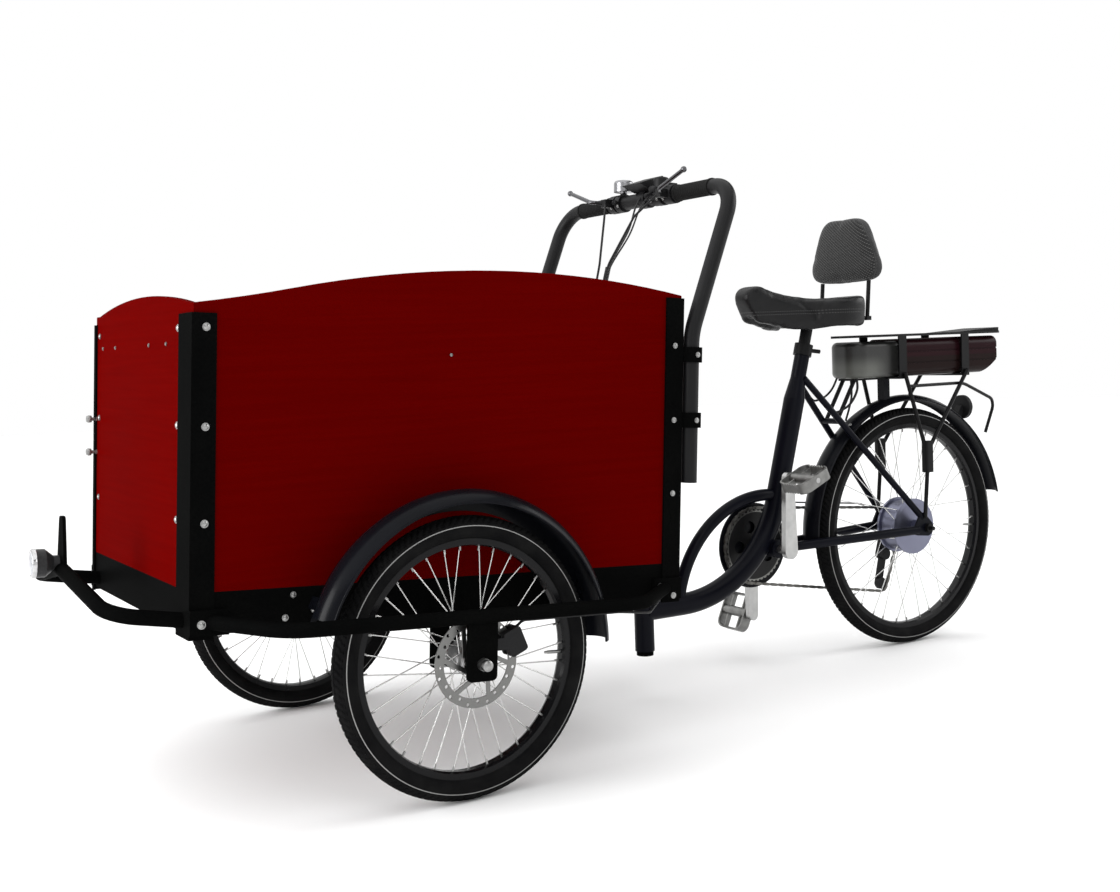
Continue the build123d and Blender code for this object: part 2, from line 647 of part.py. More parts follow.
# Brake calipers straddle the rotors and bolt to the outer plates
rotor_mid = WHEEL_Y + ROTOR_Y
half_slot = CALIPER_SLOT / 2
caliper_in = rotor_mid - half_slot - 7
caliper_out = RAIL_Y - PLATE_T / 2
body = block(ROTOR_R - CALIPER_IN, ROTOR_R + CALIPER_OUT, caliper_in, caliper_out,
             -CALIPER_L / 2, CALIPER_L / 2)
body = fillet(body.edges().filter_by(Axis.Y), 6)
body -= block(0, ROTOR_R + 5, rotor_mid - half_slot, rotor_mid + half_slot, -CALIPER_L, CALIPER_L)
ear_face = hull_plate([(-PLATE_W / 4, PLATE_W / 2, 10), (-ROTOR_R * 0.82, ROTOR_R * 0.38, 11)])
ear = slab(ear_face, caliper_out - 6, caliper_out)
caliper = Pos(0, 0, FRONT_WHEEL_R) * (Rot(0, -CALIPER_ANGLE, 0) * body + ear)
box_unit["brake_calipers"] = both_sides(caliper)

# Front mudguards on strap stays from the box
guard = mudguard(GUARD_R, GUARD_HALF_W, GUARD_SAG, *GUARD_SPAN)
strap_r = GUARD_R - GUARD_SAG - GUARD_T
strap = block(strap_r, strap_r + STAY_T, HALF_BOX - WHEEL_Y, 8 - GUARD_HALF_W, -STAY_W / 2, STAY_W / 2)
guard += [Rot(0, -angle, 0) * strap for angle in STAY_ANGLES]
box_unit["front_mudguards"] = both_sides(AT_LEFT * guard)

# Bumper tube with its tapered bracket, and the lamp on its nose
tip_x = BOX_FRONT_X + BUMPER_REACH
corner_z = BUMPER_ROOT_Z + BUMPER_RISE
root_y = HALF_BOX - BASE_W / 2 - BUMPER_R
near_half = [(BOX_FRONT_X - BASE_W / 2, root_y, BUMPER_ROOT_Z), (tip_x, BUMPER_HALF, corner_z)]
far_half = [(x, -y, z) for x, y, z in reversed(near_half)]
bumper_path = near_half + [(NOSE_X, 0, BUMPER_TIP_Z)] + far_half
bumper = tube(BUMPER_R, bumper_path, [BUMPER_BEND, 2 * BUMPER_BEND, BUMPER_BEND])
bumper -= block(BOX_FRONT_X - 60, BOX_FRONT_X, -HALF_BOX, HALF_BOX, BASE_Z - 40, PANEL_Z)
bumper -= box_unit["corner_posts_front"]
foot_z = BUMPER_TIP_Z - BUMPER_R
bracket_side = [(BRACKET_FOOT_W / 2, foot_z), (BRACKET_TOP_W / 2, BRACKET_TOP_Z)]
bracket_face = make_face(Polyline(*bracket_side, *[(-y, z) for y, z in reversed(bracket_side)], close=True))
bracket_face = fillet(bracket_face.vertices().sort_by(Axis.Y)[-2:], BRACKET_TOP_W / 3)
bracket_x = NOSE_X - BRACKET_T
box_unit["bumper"] = bumper + Pos(bracket_x, 0, 0) * extrude(Plane.YZ * bracket_face, amount=BRACKET_T)
neck_x = NOSE_X + BRACKET_T / 2
neck_l = LAMP_FRONT_X - LAMP_L - neck_x
lamp_shell = [(0, 0), (LAMP_NECK_R, 0), (LAMP_NECK_R, neck_l), (LAMP_R, neck_l + LAMP_L * 0.4),
              (LAMP_R, neck_l + LAMP_L * 0.85), (LAMP_R - 3, neck_l + LAMP_L), (0, neck_l + LAMP_L)]
lamp = Pos(neck_x, 0, LAMP_Z) * Rot(0, 0, -90) * turned(lamp_shell)
box_unit["headlamp"] = lamp - box_unit["bumper"]

# Handlebar: an inverted U clamped behind the rear posts
half_bar = BAR_WIDTH / 2
bar_path = [(LEG_X, half_bar, LEG_FOOT_Z), (LEG_X, half_bar, LEG_KNEE_Z), (BAR_X, half_bar, BAR_Z),
            (BAR_X, -half_bar, BAR_Z), (LEG_X, -half_bar, LEG_KNEE_Z), (LEG_X, -half_bar, LEG_FOOT_Z)]
handlebar = tube(BAR_R, bar_path, [LEG_BEND, BAR_BEND, BAR_BEND, LEG_BEND])
box_unit["handlebar"] = handlebar
POST_BACK_X = BOX_REAR_X - POST_T
clamps = []
for z in CLAMP_ZS:
    collar = Pos(LEG_X, half_bar, z) * Cylinder(CLAMP_R, CLAMP_H)
    foot = block(LEG_X, POST_BACK_X, half_bar - CLAMP_R, half_bar + POST_T, z - CLAMP_H / 2, z + CLAMP_H / 2)
    hole = Pos(LEG_X, half_bar, z) * Cylinder(BAR_R + SEAT_GAP, CLAMP_H * 2)
    clamps.append(collar + foot - hole)
box_unit["handlebar_clamps"] = both_sides(Part() + clamps)


def on_bar(outer_r, y0, y1):
    """Sleeve on the handlebar's crossbar."""
    sleeve = pin_y(outer_r, BAR_X, BAR_Z, y0, y1)
    return sleeve - pin_y(BAR_R + SEAT_GAP, BAR_X, BAR_Z, y0 - 1, y1 + 1)


box_unit["grips"] = both_sides(on_bar(GRIP_R, GRIP_IN, GRIP_IN + GRIP_L))
half_ring = RING_W / 2
half_arm = LEVER_ARM_W / 2
lever = on_bar(RING_R, LEVER_Y - half_ring, LEVER_Y + half_ring)
lever += block(BAR_X + BAR_R, BAR_X + LEVER_ARM, LEVER_Y - half_arm, LEVER_Y + half_arm,
               BAR_Z - half_arm, BAR_Z + half_arm)
blade_end = (BAR_X + LEVER_OUT, LEVER_Y + LEVER_L, BAR_Z + LEVER_RISE)
lever += tube(LEVER_R, [(BAR_X + LEVER_ARM - half_arm, LEVER_Y, BAR_Z),
                        (BAR_X + LEVER_OUT, LEVER_Y + LEVER_L / 4, BAR_Z + LEVER_R), blade_end], BAR_R)
lever += Pos(*blade_end) * Sphere(LEVER_R + 2)
lever -= pin_y(BAR_R + SEAT_GAP, BAR_X, BAR_Z, LEVER_Y - RING_W, LEVER_Y + RING_W)

# Display: a wedge that leans back to the rider, on its own ring
screen_side = Polyline((BAR_X + 46, BAR_Z + 28), (BAR_X - 18, BAR_Z + 50), (BAR_X - 26, BAR_Z + 32),
                       (BAR_X - 12, BAR_Z + 15), (BAR_X + 12, BAR_Z + 15), close=True)
screen = slab(make_face(screen_side), SCREEN_Y - SCREEN_HALF_W, SCREEN_Y + SCREEN_HALF_W)
screen = fillet(screen.edges().filter_by(Axis.Y).sort_by(Axis.Z)[-2:], 4)
screen += on_bar(RING_R, SCREEN_Y - half_ring, SCREEN_Y + half_ring)
screen -= pin_y(BAR_R + SEAT_GAP, BAR_X, BAR_Z, SCREEN_Y - 2 * SCREEN_HALF_W, SCREEN_Y + 2 * SCREEN_HALF_W)

# Gear shifter: a drum above its ring with a thumb paddle
on_foot = (Align.CENTER, Align.CENTER, Align.MIN)
pod = Pos(BAR_X + 6, POD_Y, BAR_Z + BAR_R / 2) * Cylinder(POD_R, BAR_R / 2 + POD_H, align=on_foot)
pod = fillet(pod.edges().sort_by(Axis.Z)[-1], 5)
pod += block(BAR_X - 34, BAR_X + 6, POD_Y - 6, POD_Y + 6, BAR_Z + RING_R + 4, BAR_Z + RING_R + 10)
pod += on_bar(RING_R, POD_Y - half_arm, POD_Y + half_arm)
pod -= pin_y(BAR_R + SEAT_GAP, BAR_X, BAR_Z, POD_Y - RING_W, POD_Y + RING_W)

# Bell: a straight-sided gong on a short stem
gong = Pos(BAR_X, BELL_Y, BAR_Z + RING_R + 5) * Cylinder(BELL_R, BELL_H, align=on_foot)
gong = fillet(gong.edges().sort_by(Axis.Z)[-1], BELL_R / 3)
bell = on_bar(RING_R, BELL_Y - half_arm, BELL_Y + half_arm) + gong
bell += Pos(BAR_X, BELL_Y, BAR_Z + RING_R - 1) * Cylinder(BELL_R / 3, 8, align=on_foot)
box_unit["handlebar_controls"] = Part() + [both_sides(lever), screen, pod, bell]

# Brake cables, from the levers down behind the box and along the outer rails to the calipers
cable_x = BOX_REAR_X - CABLE_R - 0.5
cable_low = BASE_Z - CABLE_R - 4
cable_out = RAIL_Y - RAIL_R - 6
cable_path = [(BAR_X + 34, LEVER_Y - 4, BAR_Z), (BAR_X + 66, 58, BAR_Z - 48), (cable_x - 26, 18, BAR_Z - 150),
              (cable_x, CABLE_Y, REAR_TOP_Z - 12), (cable_x, CABLE_LOW_Y, PANEL_Z + 39),
              (cable_x, CABLE_LOW_Y, cable_low), (cable_x + 20, HALF_BOX - 32, cable_low),
              (RAIL_REAR_X - 45, RAIL_Y - 45, cable_low), (RAIL_REAR_X + 45, cable_out, RAIL_Z - 16),
              (-90, cable_out, RAIL_Z - 16), (-58, cable_out + 4, RAIL_Z - 42)]
cable = tube(CABLE_R, cable_path, [24, 60, 60, 100, 14, 20, 40, 40, 20]) - lever - caliper
cable = cable.solids().sort_by(SortBy.VOLUME)[-1]
box_unit["control_cables"] = both_sides(cable)

# Steering arm and spindle under the rear of the box
arm = PITCHED * block(STEER_X, BOX_REAR_X + ARM_UNDER, -ARM_W / 2, ARM_W / 2, BASE_Z - ARM_H, BASE_Z)
spindle_low = HEAD_LOW_Z - END_GAP
yoke = arm + rod(BOSS_R, (STEER_X, 0, HEAD_TOP_Z + END_GAP), (STEER_X, 0, HEAD_TOP_Z + END_GAP + BOSS_H))
yoke += rod(SPINDLE_R, (STEER_X, 0, spindle_low - NUT_T), (STEER_X, 0, HEAD_TOP_Z + BOSS_H / 2))
yoke += rod(SPINDLE_R + 4, (STEER_X, 0, spindle_low - NUT_T), (STEER_X, 0, spindle_low))

for name, piece in box_unit.items():
    parts[name] = PITCHED * piece
parts["steering_yoke"] = yoke

# Rear frame
seat_end = (on_seat(MAIN_TOP_Z), 0, MAIN_TOP_Z)
main_tube = tube(MAIN_R, [(STEER_X, 0, MAIN_Z), (SEAT_FOOT_X, 0, MAIN_Z), seat_end], MAIN_BEND)
seat_axis = Plane(origin=seat_end, z_dir=(SEAT_DIR[0], 0, SEAT_DIR[1]))
taper_l = (TAPER_Z - MAIN_TOP_Z) / SEAT_DIR[1]
main_tube += seat_axis * Cone(MAIN_R, SEAT_TUBE_R, taper_l, align=(Align.CENTER, Align.CENTER, Align.MIN))
sleeve_top = (on_seat(SEAT_TUBE_TOP_Z), 0, SEAT_TUBE_TOP_Z)
main_tube += rod(SEAT_TUBE_R, (on_seat(TAPER_Z - 2), 0, TAPER_Z - 2), sleeve_top)
shell = pin_y(SHELL_R, CRANK_X, CRANK_Z, -SHELL_HALF, SHELL_HALF)
head = rod(HEAD_R, (STEER_X, 0, HEAD_LOW_Z), (STEER_X, 0, HEAD_TOP_Z))
main_tube = main_tube + shell + head
main_tube -= rod(SPINDLE_R + RUN_GAP, (STEER_X, 0, HEAD_LOW_Z - 1), (STEER_X, 0, HEAD_TOP_Z + 1))
main_tube -= pin_y(SPINDLE_BB_R + RUN_GAP, CRANK_X, CRANK_Z, -SHELL_HALF - 1, SHELL_HALF + 1)
post_foot_z = SEAT_TUBE_TOP_Z - POST_IN
post_line = [(on_seat(z), 0, z) for z in (post_foot_z, POST_TOP_Z)]
main_tube -= rod(POST_R + SEAT_GAP, post_line[0], (on_seat(POST_TOP_Z), 0, POST_TOP_Z))
parts["main_tube"] = main_tube


def on_brace(angle):
    """Point on the brace's arc at degrees up from forward."""
    turn = radians(angle)
    return SEAT_FOOT_X - BRACE_BACK + BRACE_ARC_R * cos(turn), 0, BRACE_Z + BRACE_ARC_R * sin(turn)


arc_start, arc_mid, arc_end = [on_brace(a) for a in (BRACE_SPAN[0], sum(BRACE_SPAN) / 2, BRACE_SPAN[1])]
brace_path = ThreePointArc(arc_start, arc_mid, arc_end)
brace = sweep(Plane(origin=brace_path @ 0, z_dir=brace_path % 0) * Circle(BRACE_R), path=brace_path)
brace = (brace - main_tube).solids().sort_by(SortBy.VOLUME)[-1]
parts["brace_tube"] = Part() + brace

drop_face = hull_plate([(REAR_AXLE_X, REAR_WHEEL_R, DROP_R), (REAR_AXLE_X + 34, REAR_WHEEL_R - 4, 12),
                        (REAR_AXLE_X + 16, REAR_WHEEL_R + 30, 10)])
drop_face -= Pos(REAR_AXLE_X, REAR_WHEEL_R) * Circle(REAR_AXLE_R + SEAT_GAP)
dropout = slab(drop_face, DROP_Y - DROP_T / 2, DROP_Y + DROP_T / 2)
chainstay = rod(STAY_R, (CRANK_X - 16, STAY_IN_Y - 4, CRANK_Z),
                (REAR_AXLE_X + 30, DROP_Y - 2, REAR_WHEEL_R - 3))
chainstay = (chainstay - main_tube).solids().sort_by(SortBy.VOLUME)[-1]
left_stay = Part() + chainstay + dropout
parts["chainstays"] = both_sides(left_stay)

stay_top = (on_seat(SEAT_STAY_TOP_Z) - 6, SEAT_STAY_IN_Y - 6, SEAT_STAY_TOP_Z)
stay_foot = (REAR_AXLE_X + 14, DROP_Y - 1, REAR_WHEEL_R + 26)
seat_stay = rod(SEAT_STAY_R, stay_top, stay_foot) - main_tube - left_stay
seat_stay = seat_stay.solids().sort_by(SortBy.VOLUME)[-1]
bridge_x, bridge_y, bridge_z = [a + BRIDGE_AT * (b - a) for a, b in zip(stay_top, stay_foot)]
bridge = pin_y(BRIDGE_R, bridge_x, bridge_z, -bridge_y, bridge_y)
parts["seat_stays"] = Part() + seat_stay + mirror(seat_stay, about=Plane.XZ) + bridge

axle_half = DROP_Y + DROP_T / 2
rear_axle = pin_y(REAR_AXLE_R, REAR_AXLE_X, REAR_WHEEL_R, -axle_half - 20, axle_half + 20)
for side in (1, -1):
    inner = side * (REAR_HUB_HALF + END_GAP)
    rear_axle += pin_y(REAR_AXLE_R + 4, REAR_AXLE_X, REAR_WHEEL_R, inner, side * (DROP_Y - DROP_T / 2))
    rear_axle += pin_y(NUT_R, REAR_AXLE_X, REAR_WHEEL_R, side * axle_half, side * (axle_half + NUT_T))
parts["rear_axle"] = rear_axle

# Seat post with its clamp, saddle frame, saddle and backrest
seat_post = rod(POST_R, post_line[0], post_line[1])
collar_low = (on_seat(SEAT_TUBE_TOP_Z - 24), 0, SEAT_TUBE_TOP_Z - 24)
collar = rod(SEAT_TUBE_R + 4, collar_low, sleeve_top) - rod(SEAT_TUBE_R + SEAT_GAP, collar_low, sleeve_top)
cap = rod(SEAT_TUBE_R + 4, sleeve_top, (on_seat(SEAT_TUBE_TOP_Z + 3), 0, SEAT_TUBE_TOP_Z + 3))
lever_z = SEAT_TUBE_TOP_Z - 12
quick_x = on_seat(lever_z) - SEAT_TUBE_R
quick = rod(5, (quick_x - 2, 0, lever_z), (quick_x - 30, 6, lever_z - 4))
quick -= rod(SEAT_TUBE_R + SEAT_GAP, collar_low, sleeve_top)
parts["seat_post"] = seat_post + cap + collar + quick


def along(share):
    """X at a share of the saddle's length from its nose."""
    return SADDLE_NOSE_X - share * SADDLE_L


def saddle_plan(inset):
    """Saddle from above, drawn in all round: narrow nose, then flared to the rear."""
    def width(share):
        return SADDLE_HALF_W * share - inset
    nose = along(0) - inset
    tail = along(1) + inset
    outline = ThreePointArc((nose - 8, width(0.24)), (nose, 0), (nose - 8, -width(0.24)))
    for s in (1, -1):
        waist = (along(0.56), s * width(0.66))
        hip = (tail + 14, s * width(0.86))
        outline += ThreePointArc((nose - 8, s * width(0.24)), (along(0.28), s * width(0.36)), waist)
        outline += ThreePointArc(waist, (along(0.76), s * width(1)), hip)
    outline += ThreePointArc((tail + 14, width(0.86)), (tail, 0), (tail + 14, -width(0.86)))
    return make_face(outline)


# Saddle: raised nose and hollowed seat over deep skirts, open below for the rails and springs
nose_low = (along(0.1), SKIRT_Z + 16)
nose_tip = (along(0), SADDLE_SEAT_Z)
nose_top = (along(0.145), SADDLE_TOP_Z)
seat_rear = (along(0.93), SADDLE_SEAT_Z)
tail_edge = (along(1), SADDLE_SEAT_Z - 26)
side_view = ThreePointArc(nose_tip, (along(0.04), SADDLE_TOP_Z - 8), nose_top)
side_view += ThreePointArc(nose_top, (along(0.56), SADDLE_SEAT_Z - 4), seat_rear)
side_view += ThreePointArc(seat_rear, (along(0.985), SADDLE_SEAT_Z - 9), tail_edge)
side_view += Polyline(tail_edge, (along(0.98), SKIRT_Z), (along(0.4), SKIRT_Z), nose_low, nose_tip)
saddle = slab(make_face(side_view), -SADDLE_HALF_W - 5, SADDLE_HALF_W + 5)
saddle &= Pos(0, 0, SKIRT_Z - 20) * extrude(saddle_plan(0), amount=SADDLE_TOP_Z - SKIRT_Z + 60)
saddle -= Pos(0, 0, SKIRT_Z - 20) * extrude(saddle_plan(SKIRT_T), amount=SADDLE_LOW_Z - SKIRT_Z + 20)
rear_gap = BACK_ROD_Y + SKIRT_T / 2
saddle -= block(along(1.1), along(0.8), -rear_gap, rear_gap, SKIRT_Z - 20, SADDLE_LOW_Z)
parts["saddle"] = saddle

back_h = BACK_Z[1] - BACK_Z[0]
pad = Polyline((-BACK_HALF_W, BACK_Z[0]), (BACK_HALF_W, BACK_Z[0]), (BACK_HALF_W * 0.72, BACK_Z[1]),
               (-BACK_HALF_W * 0.72, BACK_Z[1]), close=True)
pad = fillet(make_face(pad).vertices(), back_h * 0.24)
pad = Pos(BACK_X - BACK_T / 2, 0, 0) * extrude(Plane.YZ * pad, amount=BACK_T)
parts["backrest"] = pad

rail_z = SADDLE_LOW_Z - RAIL_DROP
rail_y = 22
rod_x = SADDLE_REAR_X - BACK_ROD_R - 6
spring_x = along(SPRING_AT)
frame_bits = rod(BACK_ROD_R, (on_seat(POST_TOP_Z) + 70, rail_y, rail_z), (rod_x, rail_y, rail_z))
frame_bits += block(rod_x - 7, rod_x + 7, rail_y - 7, BACK_ROD_Y + 7, rail_z - 5, rail_z + 5)
frame_bits += rod(BACK_ROD_R, (rod_x, BACK_ROD_Y, rail_z), (BACK_X + 6, BACK_ROD_Y, BACK_Z[0] - PAD_SEAT))
frame_bits += rod(SPRING_R, (spring_x, SPRING_Y, rail_z - 5), (spring_x, SPRING_Y, SADDLE_LOW_Z - 0.3))
frame_bits += block(spring_x - 7, spring_x + 7, rail_y - 2, SPRING_Y, rail_z - 5, rail_z + 5)
saddle_frame = frame_bits + mirror(frame_bits, about=Plane.XZ)
clamp_x = on_seat(POST_TOP_Z)
saddle_frame += block(clamp_x - 22, clamp_x + 22, -28, 28, rail_z - 9, rail_z + 8)
saddle_frame -= rod(POST_R + SEAT_GAP, post_line[0], (on_seat(POST_TOP_Z + 20), 0, POST_TOP_Z + 20))
parts["saddle_frame"] = saddle_frame

# Rack, battery and controller
deck_front, deck_rear = [REAR_AXLE_X + at for at in DECK_AT]
hangers = [REAR_AXLE_X + at for at in HANGERS_AT]
deck_top = DECK_Z + DECK_T
deck = block(deck_rear, deck_front, -DECK_HALF_W, DECK_HALF_W, DECK_Z, deck_top)
for edges, radius in ((deck.edges().filter_by(Axis.Z).sort_by(Axis.X)[-2:], DECK_CORNERS[0]),
                      (deck.edges().filter_by(Axis.Z).sort_by(Axis.X)[:2], DECK_CORNERS[1])):
    deck = fillet(edges, radius)
slot_l = deck_front - deck_rear - 2 * sum(DECK_CORNERS)
for y in DECK_SLOT_YS:
    deck -= Pos(REAR_AXLE_X + sum(DECK_AT) / 2, y, DECK_Z) * extrude(SlotOverall(slot_l, DECK_SLOT_W), DECK_T)
wedge_top = deck_top + TAIL_WEDGE[1]
wedge_rear = deck_rear + 4
wedge = Polyline((deck_rear + TAIL_WEDGE[0], deck_top), (wedge_rear, deck_top), (wedge_rear, wedge_top),
                 (wedge_rear + 6, wedge_top), close=True)
wedge_half = DECK_HALF_W - DECK_CORNERS[1] / 2
deck += slab(make_face(wedge), -wedge_half, wedge_half)
for x in hangers:
    strap = block(x - HANGER_W / 2, x + HANGER_W / 2, DECK_HALF_W - HANGER_T, DECK_HALF_W, TRAY_Z, DECK_Z)
    deck += strap + mirror(strap, about=Plane.XZ)
    deck += block(x - HANGER_W / 2, x + HANGER_W / 2, -DECK_HALF_W, DECK_HALF_W, TRAY_Z - TRAY_T, TRAY_Z)
tray_front = REAR_AXLE_X + TRAY_FRONT_AT
deck += block(hangers[0], tray_front, -TRAY_HALF_W, TRAY_HALF_W, TRAY_Z - TRAY_T, TRAY_Z)
parts["rack_deck"] = deck


def pack(x0, x1, half_w, z0, z1, corner):
    """Long housing with rounded lengthwise edges."""
    shell = block(x0, x1, -half_w, half_w, z0, z1)
    return fillet(shell.edges().filter_by(Axis.X), corner)


battery_front, battery_rear = [REAR_AXLE_X + at for at in BATTERY_AT]
battery = pack(battery_rear, battery_front, BATTERY_HALF_W, TRAY_Z, DECK_Z - 6, 20)
slope = Polyline((battery_rear - 1, TRAY_Z - 1), (battery_rear + BATTERY_CUT[0], TRAY_Z - 1),
                 (battery_rear - 1, TRAY_Z + BATTERY_CUT[1]), close=True)
battery -= slab(make_face(slope), -BATTERY_HALF_W - 1, BATTERY_HALF_W + 1)
for z in BATTERY_GROOVES:
    groove = block(battery_rear - 1, battery_front + 1, BATTERY_HALF_W - GROOVE_W / 2, BATTERY_HALF_W + 1,
                   z - GROOVE_W / 2, z + GROOVE_W / 2)
    battery -= [groove, mirror(groove, about=Plane.XZ)]
parts["battery"] = battery
controller_front = REAR_AXLE_X + CONTROL_FRONT_AT
controller = block(battery_front + HOUSING_GAP, controller_front, -CONTROL_HALF_W, CONTROL_HALF_W,
                   TRAY_Z, DECK_Z - 10)
controller = fillet(controller.edges().filter_by(Axis.Z).sort_by(Axis.X)[-2:], CONTROL_NOSE)
parts["controller"] = fillet(controller.edges().group_by(Axis.Z)[-1] + controller.edges().group_by(Axis.Z)[0], 14)

# Rack legs with sleeves down to the dropouts, and stays forward to the seat-stay bridge
block_x, block_y, block_z = REAR_AXLE_X + LEG_BLOCK_AT[0], *LEG_BLOCK_AT[1:]
half_sleeve = LEG_BLOCK_SIZE[2] / 4
legs = fillet((Pos(block_x, block_y, block_z) * Box(*LEG_BLOCK_SIZE)).edges().filter_by(Axis.Z), 6)
for x, toe in zip(hangers, (LEG_TOE, -LEG_TOE)):
    legs += rod(LEG_R, (x, DECK_HALF_W + LEG_R, TRAY_Z + 10), (block_x + toe, block_y, block_z + half_sleeve))
legs += rod(LEG_R, (block_x, block_y, block_z - half_sleeve),
            (REAR_AXLE_X + 14, DROP_Y + DROP_T / 2 + LEG_R + 0.2, REAR_WHEEL_R + 26))
stay_y = TRAY_HALF_W - LEG_R
front_stay = rod(LEG_R, (tray_front - 12, stay_y, TRAY_Z - TRAY_T / 2), (bridge_x, stay_y, bridge_z))
legs = legs - deck - parts["chainstays"] - parts["seat_stays"]
front_stay = (front_stay - deck - parts["seat_stays"]).solids().sort_by(SortBy.VOLUME)[-1]
parts["rack_legs"] = both_sides(Part() + [legs, front_stay])

hoop_tail, hoop_end = [(REAR_AXLE_X + x, y, z) for x, y, z in (HOOP_TAIL_AT, HOOP_END_AT)]
hoop_z = TRAY_Z - HOOP_DROP
leg_top = (hangers[0], DECK_HALF_W + LEG_R, TRAY_Z + 10)
leg_low = (block_x + LEG_TOE, block_y, block_z + half_sleeve)
down = (leg_top[2] - hoop_z) / (leg_top[2] - leg_low[2])
hoop_start = tuple(a + down * (b - a) for a, b in zip(leg_top, leg_low))
hoop_turn = (hangers[1] + 10, DECK_HALF_W - 2, hoop_z)
hoop = tube(LEG_R - 1, [hoop_start, hoop_turn, hoop_tail, hoop_end], HOOP_BENDS)
rear_guard = AT_REAR * mudguard(REAR_GUARD_R, REAR_GUARD_HALF_W, REAR_GUARD_SAG, *REAR_GUARD_SPAN)
parts["guard_hoop"] = hoop - legs - rear_guard - deck

crown_z = REAR_WHEEL_R + REAR_GUARD_R
inside_guard = AT_REAR * Rot(90, 0, 0) * Cylinder(REAR_GUARD_R - GUARD_T + 0.4, 4 * REAR_GUARD_HALF_W)
guard_tab = block(hangers[0] - 9, hangers[0] + 9, -12, 12, crown_z - 22, TRAY_Z - TRAY_T) - inside_guard
parts["rear_mudguard"] = rear_guard + guard_tab
tail_a = radians(TAIL_ANGLE)
tail_r = REAR_GUARD_R + TAIL_OUT
tail_shell = turned([(0, 0), (TAIL_R, 0), (TAIL_R, TAIL_T * 0.6), (TAIL_R - 6, TAIL_T), (0, TAIL_T)])
at_tail = Pos(REAR_AXLE_X + tail_r * cos(tail_a), 0, REAR_WHEEL_R + tail_r * sin(tail_a))
tail_lamp = at_tail * Rot(0, 0, 90) * tail_shell
root = AT_REAR * Rot(0, -TAIL_ANGLE, 0) * block(REAR_GUARD_R - 3, tail_r, -9, 9, -8, 8)
tail_lamp += root - rear_guard
tail_lamp -= AT_REAR * Rot(90, 0, 0) * Cylinder(REAR_GUARD_R, 4 * REAR_GUARD_HALF_W)
parts["tail_lamp"] = tail_lamp

# Cranks, chainring and guard disc, pedals
eye_up = (CRANK_X, CRANK_Z + CRANK_L)
eye_down = (CRANK_X, CRANK_Z - CRANK_L)
cranks = pin_y(SPINDLE_BB_R, CRANK_X, CRANK_Z, -CRANK_IN_Y, CRANK_IN_Y)
for s, eye in ((1, eye_up), (-1, eye_down)):
    arm_face = hull_plate([(CRANK_X, CRANK_Z, CRANK_BOSS_R), (*eye, CRANK_EYE_R)])
    y0, y1 = sorted((s * CRANK_IN_Y, s * (CRANK_IN_Y + CRANK_T)))
    cranks += slab(arm_face, y0, y1)
    pin = sorted((s * (CRANK_IN_Y + CRANK_T), s * (CRANK_IN_Y + CRANK_T + PEDAL_GAP + PEDAL_W)))
    cranks += pin_y(PEDAL_PIN_R, *eye, *pin)
parts["cranks"] = cranks
window = Pos(WINDOW_RING_R, 0) * Circle(WINDOW_R)
ring_face = toothed(RING_TIP_R, RING_TEETH, TOOTH_DEPTH * 0.8) - Circle(SPINDLE_BB_R)
ring_face -= [Rot(0, 0, 360 * n / RING_WINDOWS) * window for n in range(RING_WINDOWS)]
at_crank = Pos(CRANK_X, 0, CRANK_Z)
parts["chainring"] = at_crank * slab(ring_face, CHAIN_Y - 1.5, CHAIN_Y + 1.5)
disc_face = Circle(DISC_R) - Circle(SPINDLE_BB_R)
parts["guard_disc"] = at_crank * slab(disc_face, DISC_Y - DISC_T / 2, DISC_Y + DISC_T / 2)


def pedal(side, eye, tilt):
    """Cage pedal: a barrel on the pin, two ribs and a rounded cage with saw teeth along both edges."""
    outer = fillet(Rectangle(PEDAL_LEN, PEDAL_W).vertices(), PEDAL_CORNER)
    inner = Rectangle(PEDAL_LEN - 2 * CAGE_T, PEDAL_W - 2 * CAGE_T)
    inner = fillet(inner.vertices(), PEDAL_CORNER - CAGE_T)
    body = extrude(outer - inner, amount=PEDAL_H / 2, both=True)
    notch = Rot(45, 0, 0) * Box(2 * PEDAL_LEN, CAGE_NOTCH, CAGE_NOTCH)
    straight = PEDAL_W - 2 * PEDAL_CORNER
    for n in range(CAGE_TEETH):
        y = straight * ((n + 0.5) / CAGE_TEETH - 0.5)
        body -= [Pos(0, y, z) * notch for z in (-PEDAL_H / 2, PEDAL_H / 2)]
    rib = Box(PEDAL_LEN - CAGE_T, CAGE_T, PEDAL_BARREL_R)
    body += [Pos(0, y, 0) * rib for y in (-PEDAL_W / 4, PEDAL_W / 4)]
    body += Rot(90, 0, 0) * Cylinder(PEDAL_BARREL_R, PEDAL_W)
    body -= Rot(90, 0, 0) * Cylinder(PEDAL_PIN_R + RUN_GAP, 2 * PEDAL_W)
    near = CRANK_IN_Y + CRANK_T + PEDAL_GAP
    return Pos(eye[0], side * (near + PEDAL_W / 2), eye[1]) * Rot(0, tilt, 0) * body


parts["pedal_left"] = pedal(1, eye_up, PEDAL_TILTS[0])
parts["pedal_right"] = pedal(-1, eye_down, PEDAL_TILTS[1])

# Chain, rear mech and chain cover
jockey_top = (REAR_AXLE_X + JOCKEY_TOP_AT[0], JOCKEY_TOP_AT[1])
jockey_low = (REAR_AXLE_X + JOCKEY_LOW_AT[0], JOCKEY_LOW_AT[1])
driven_r = SPROCKETS[3][0]
belt = [(CRANK_X, CRANK_Z, RING_TIP_R + CHAIN_GAP), (REAR_AXLE_X, REAR_WHEEL_R, driven_r + CHAIN_GAP),
        (*jockey_low, JOCKEY_R)]


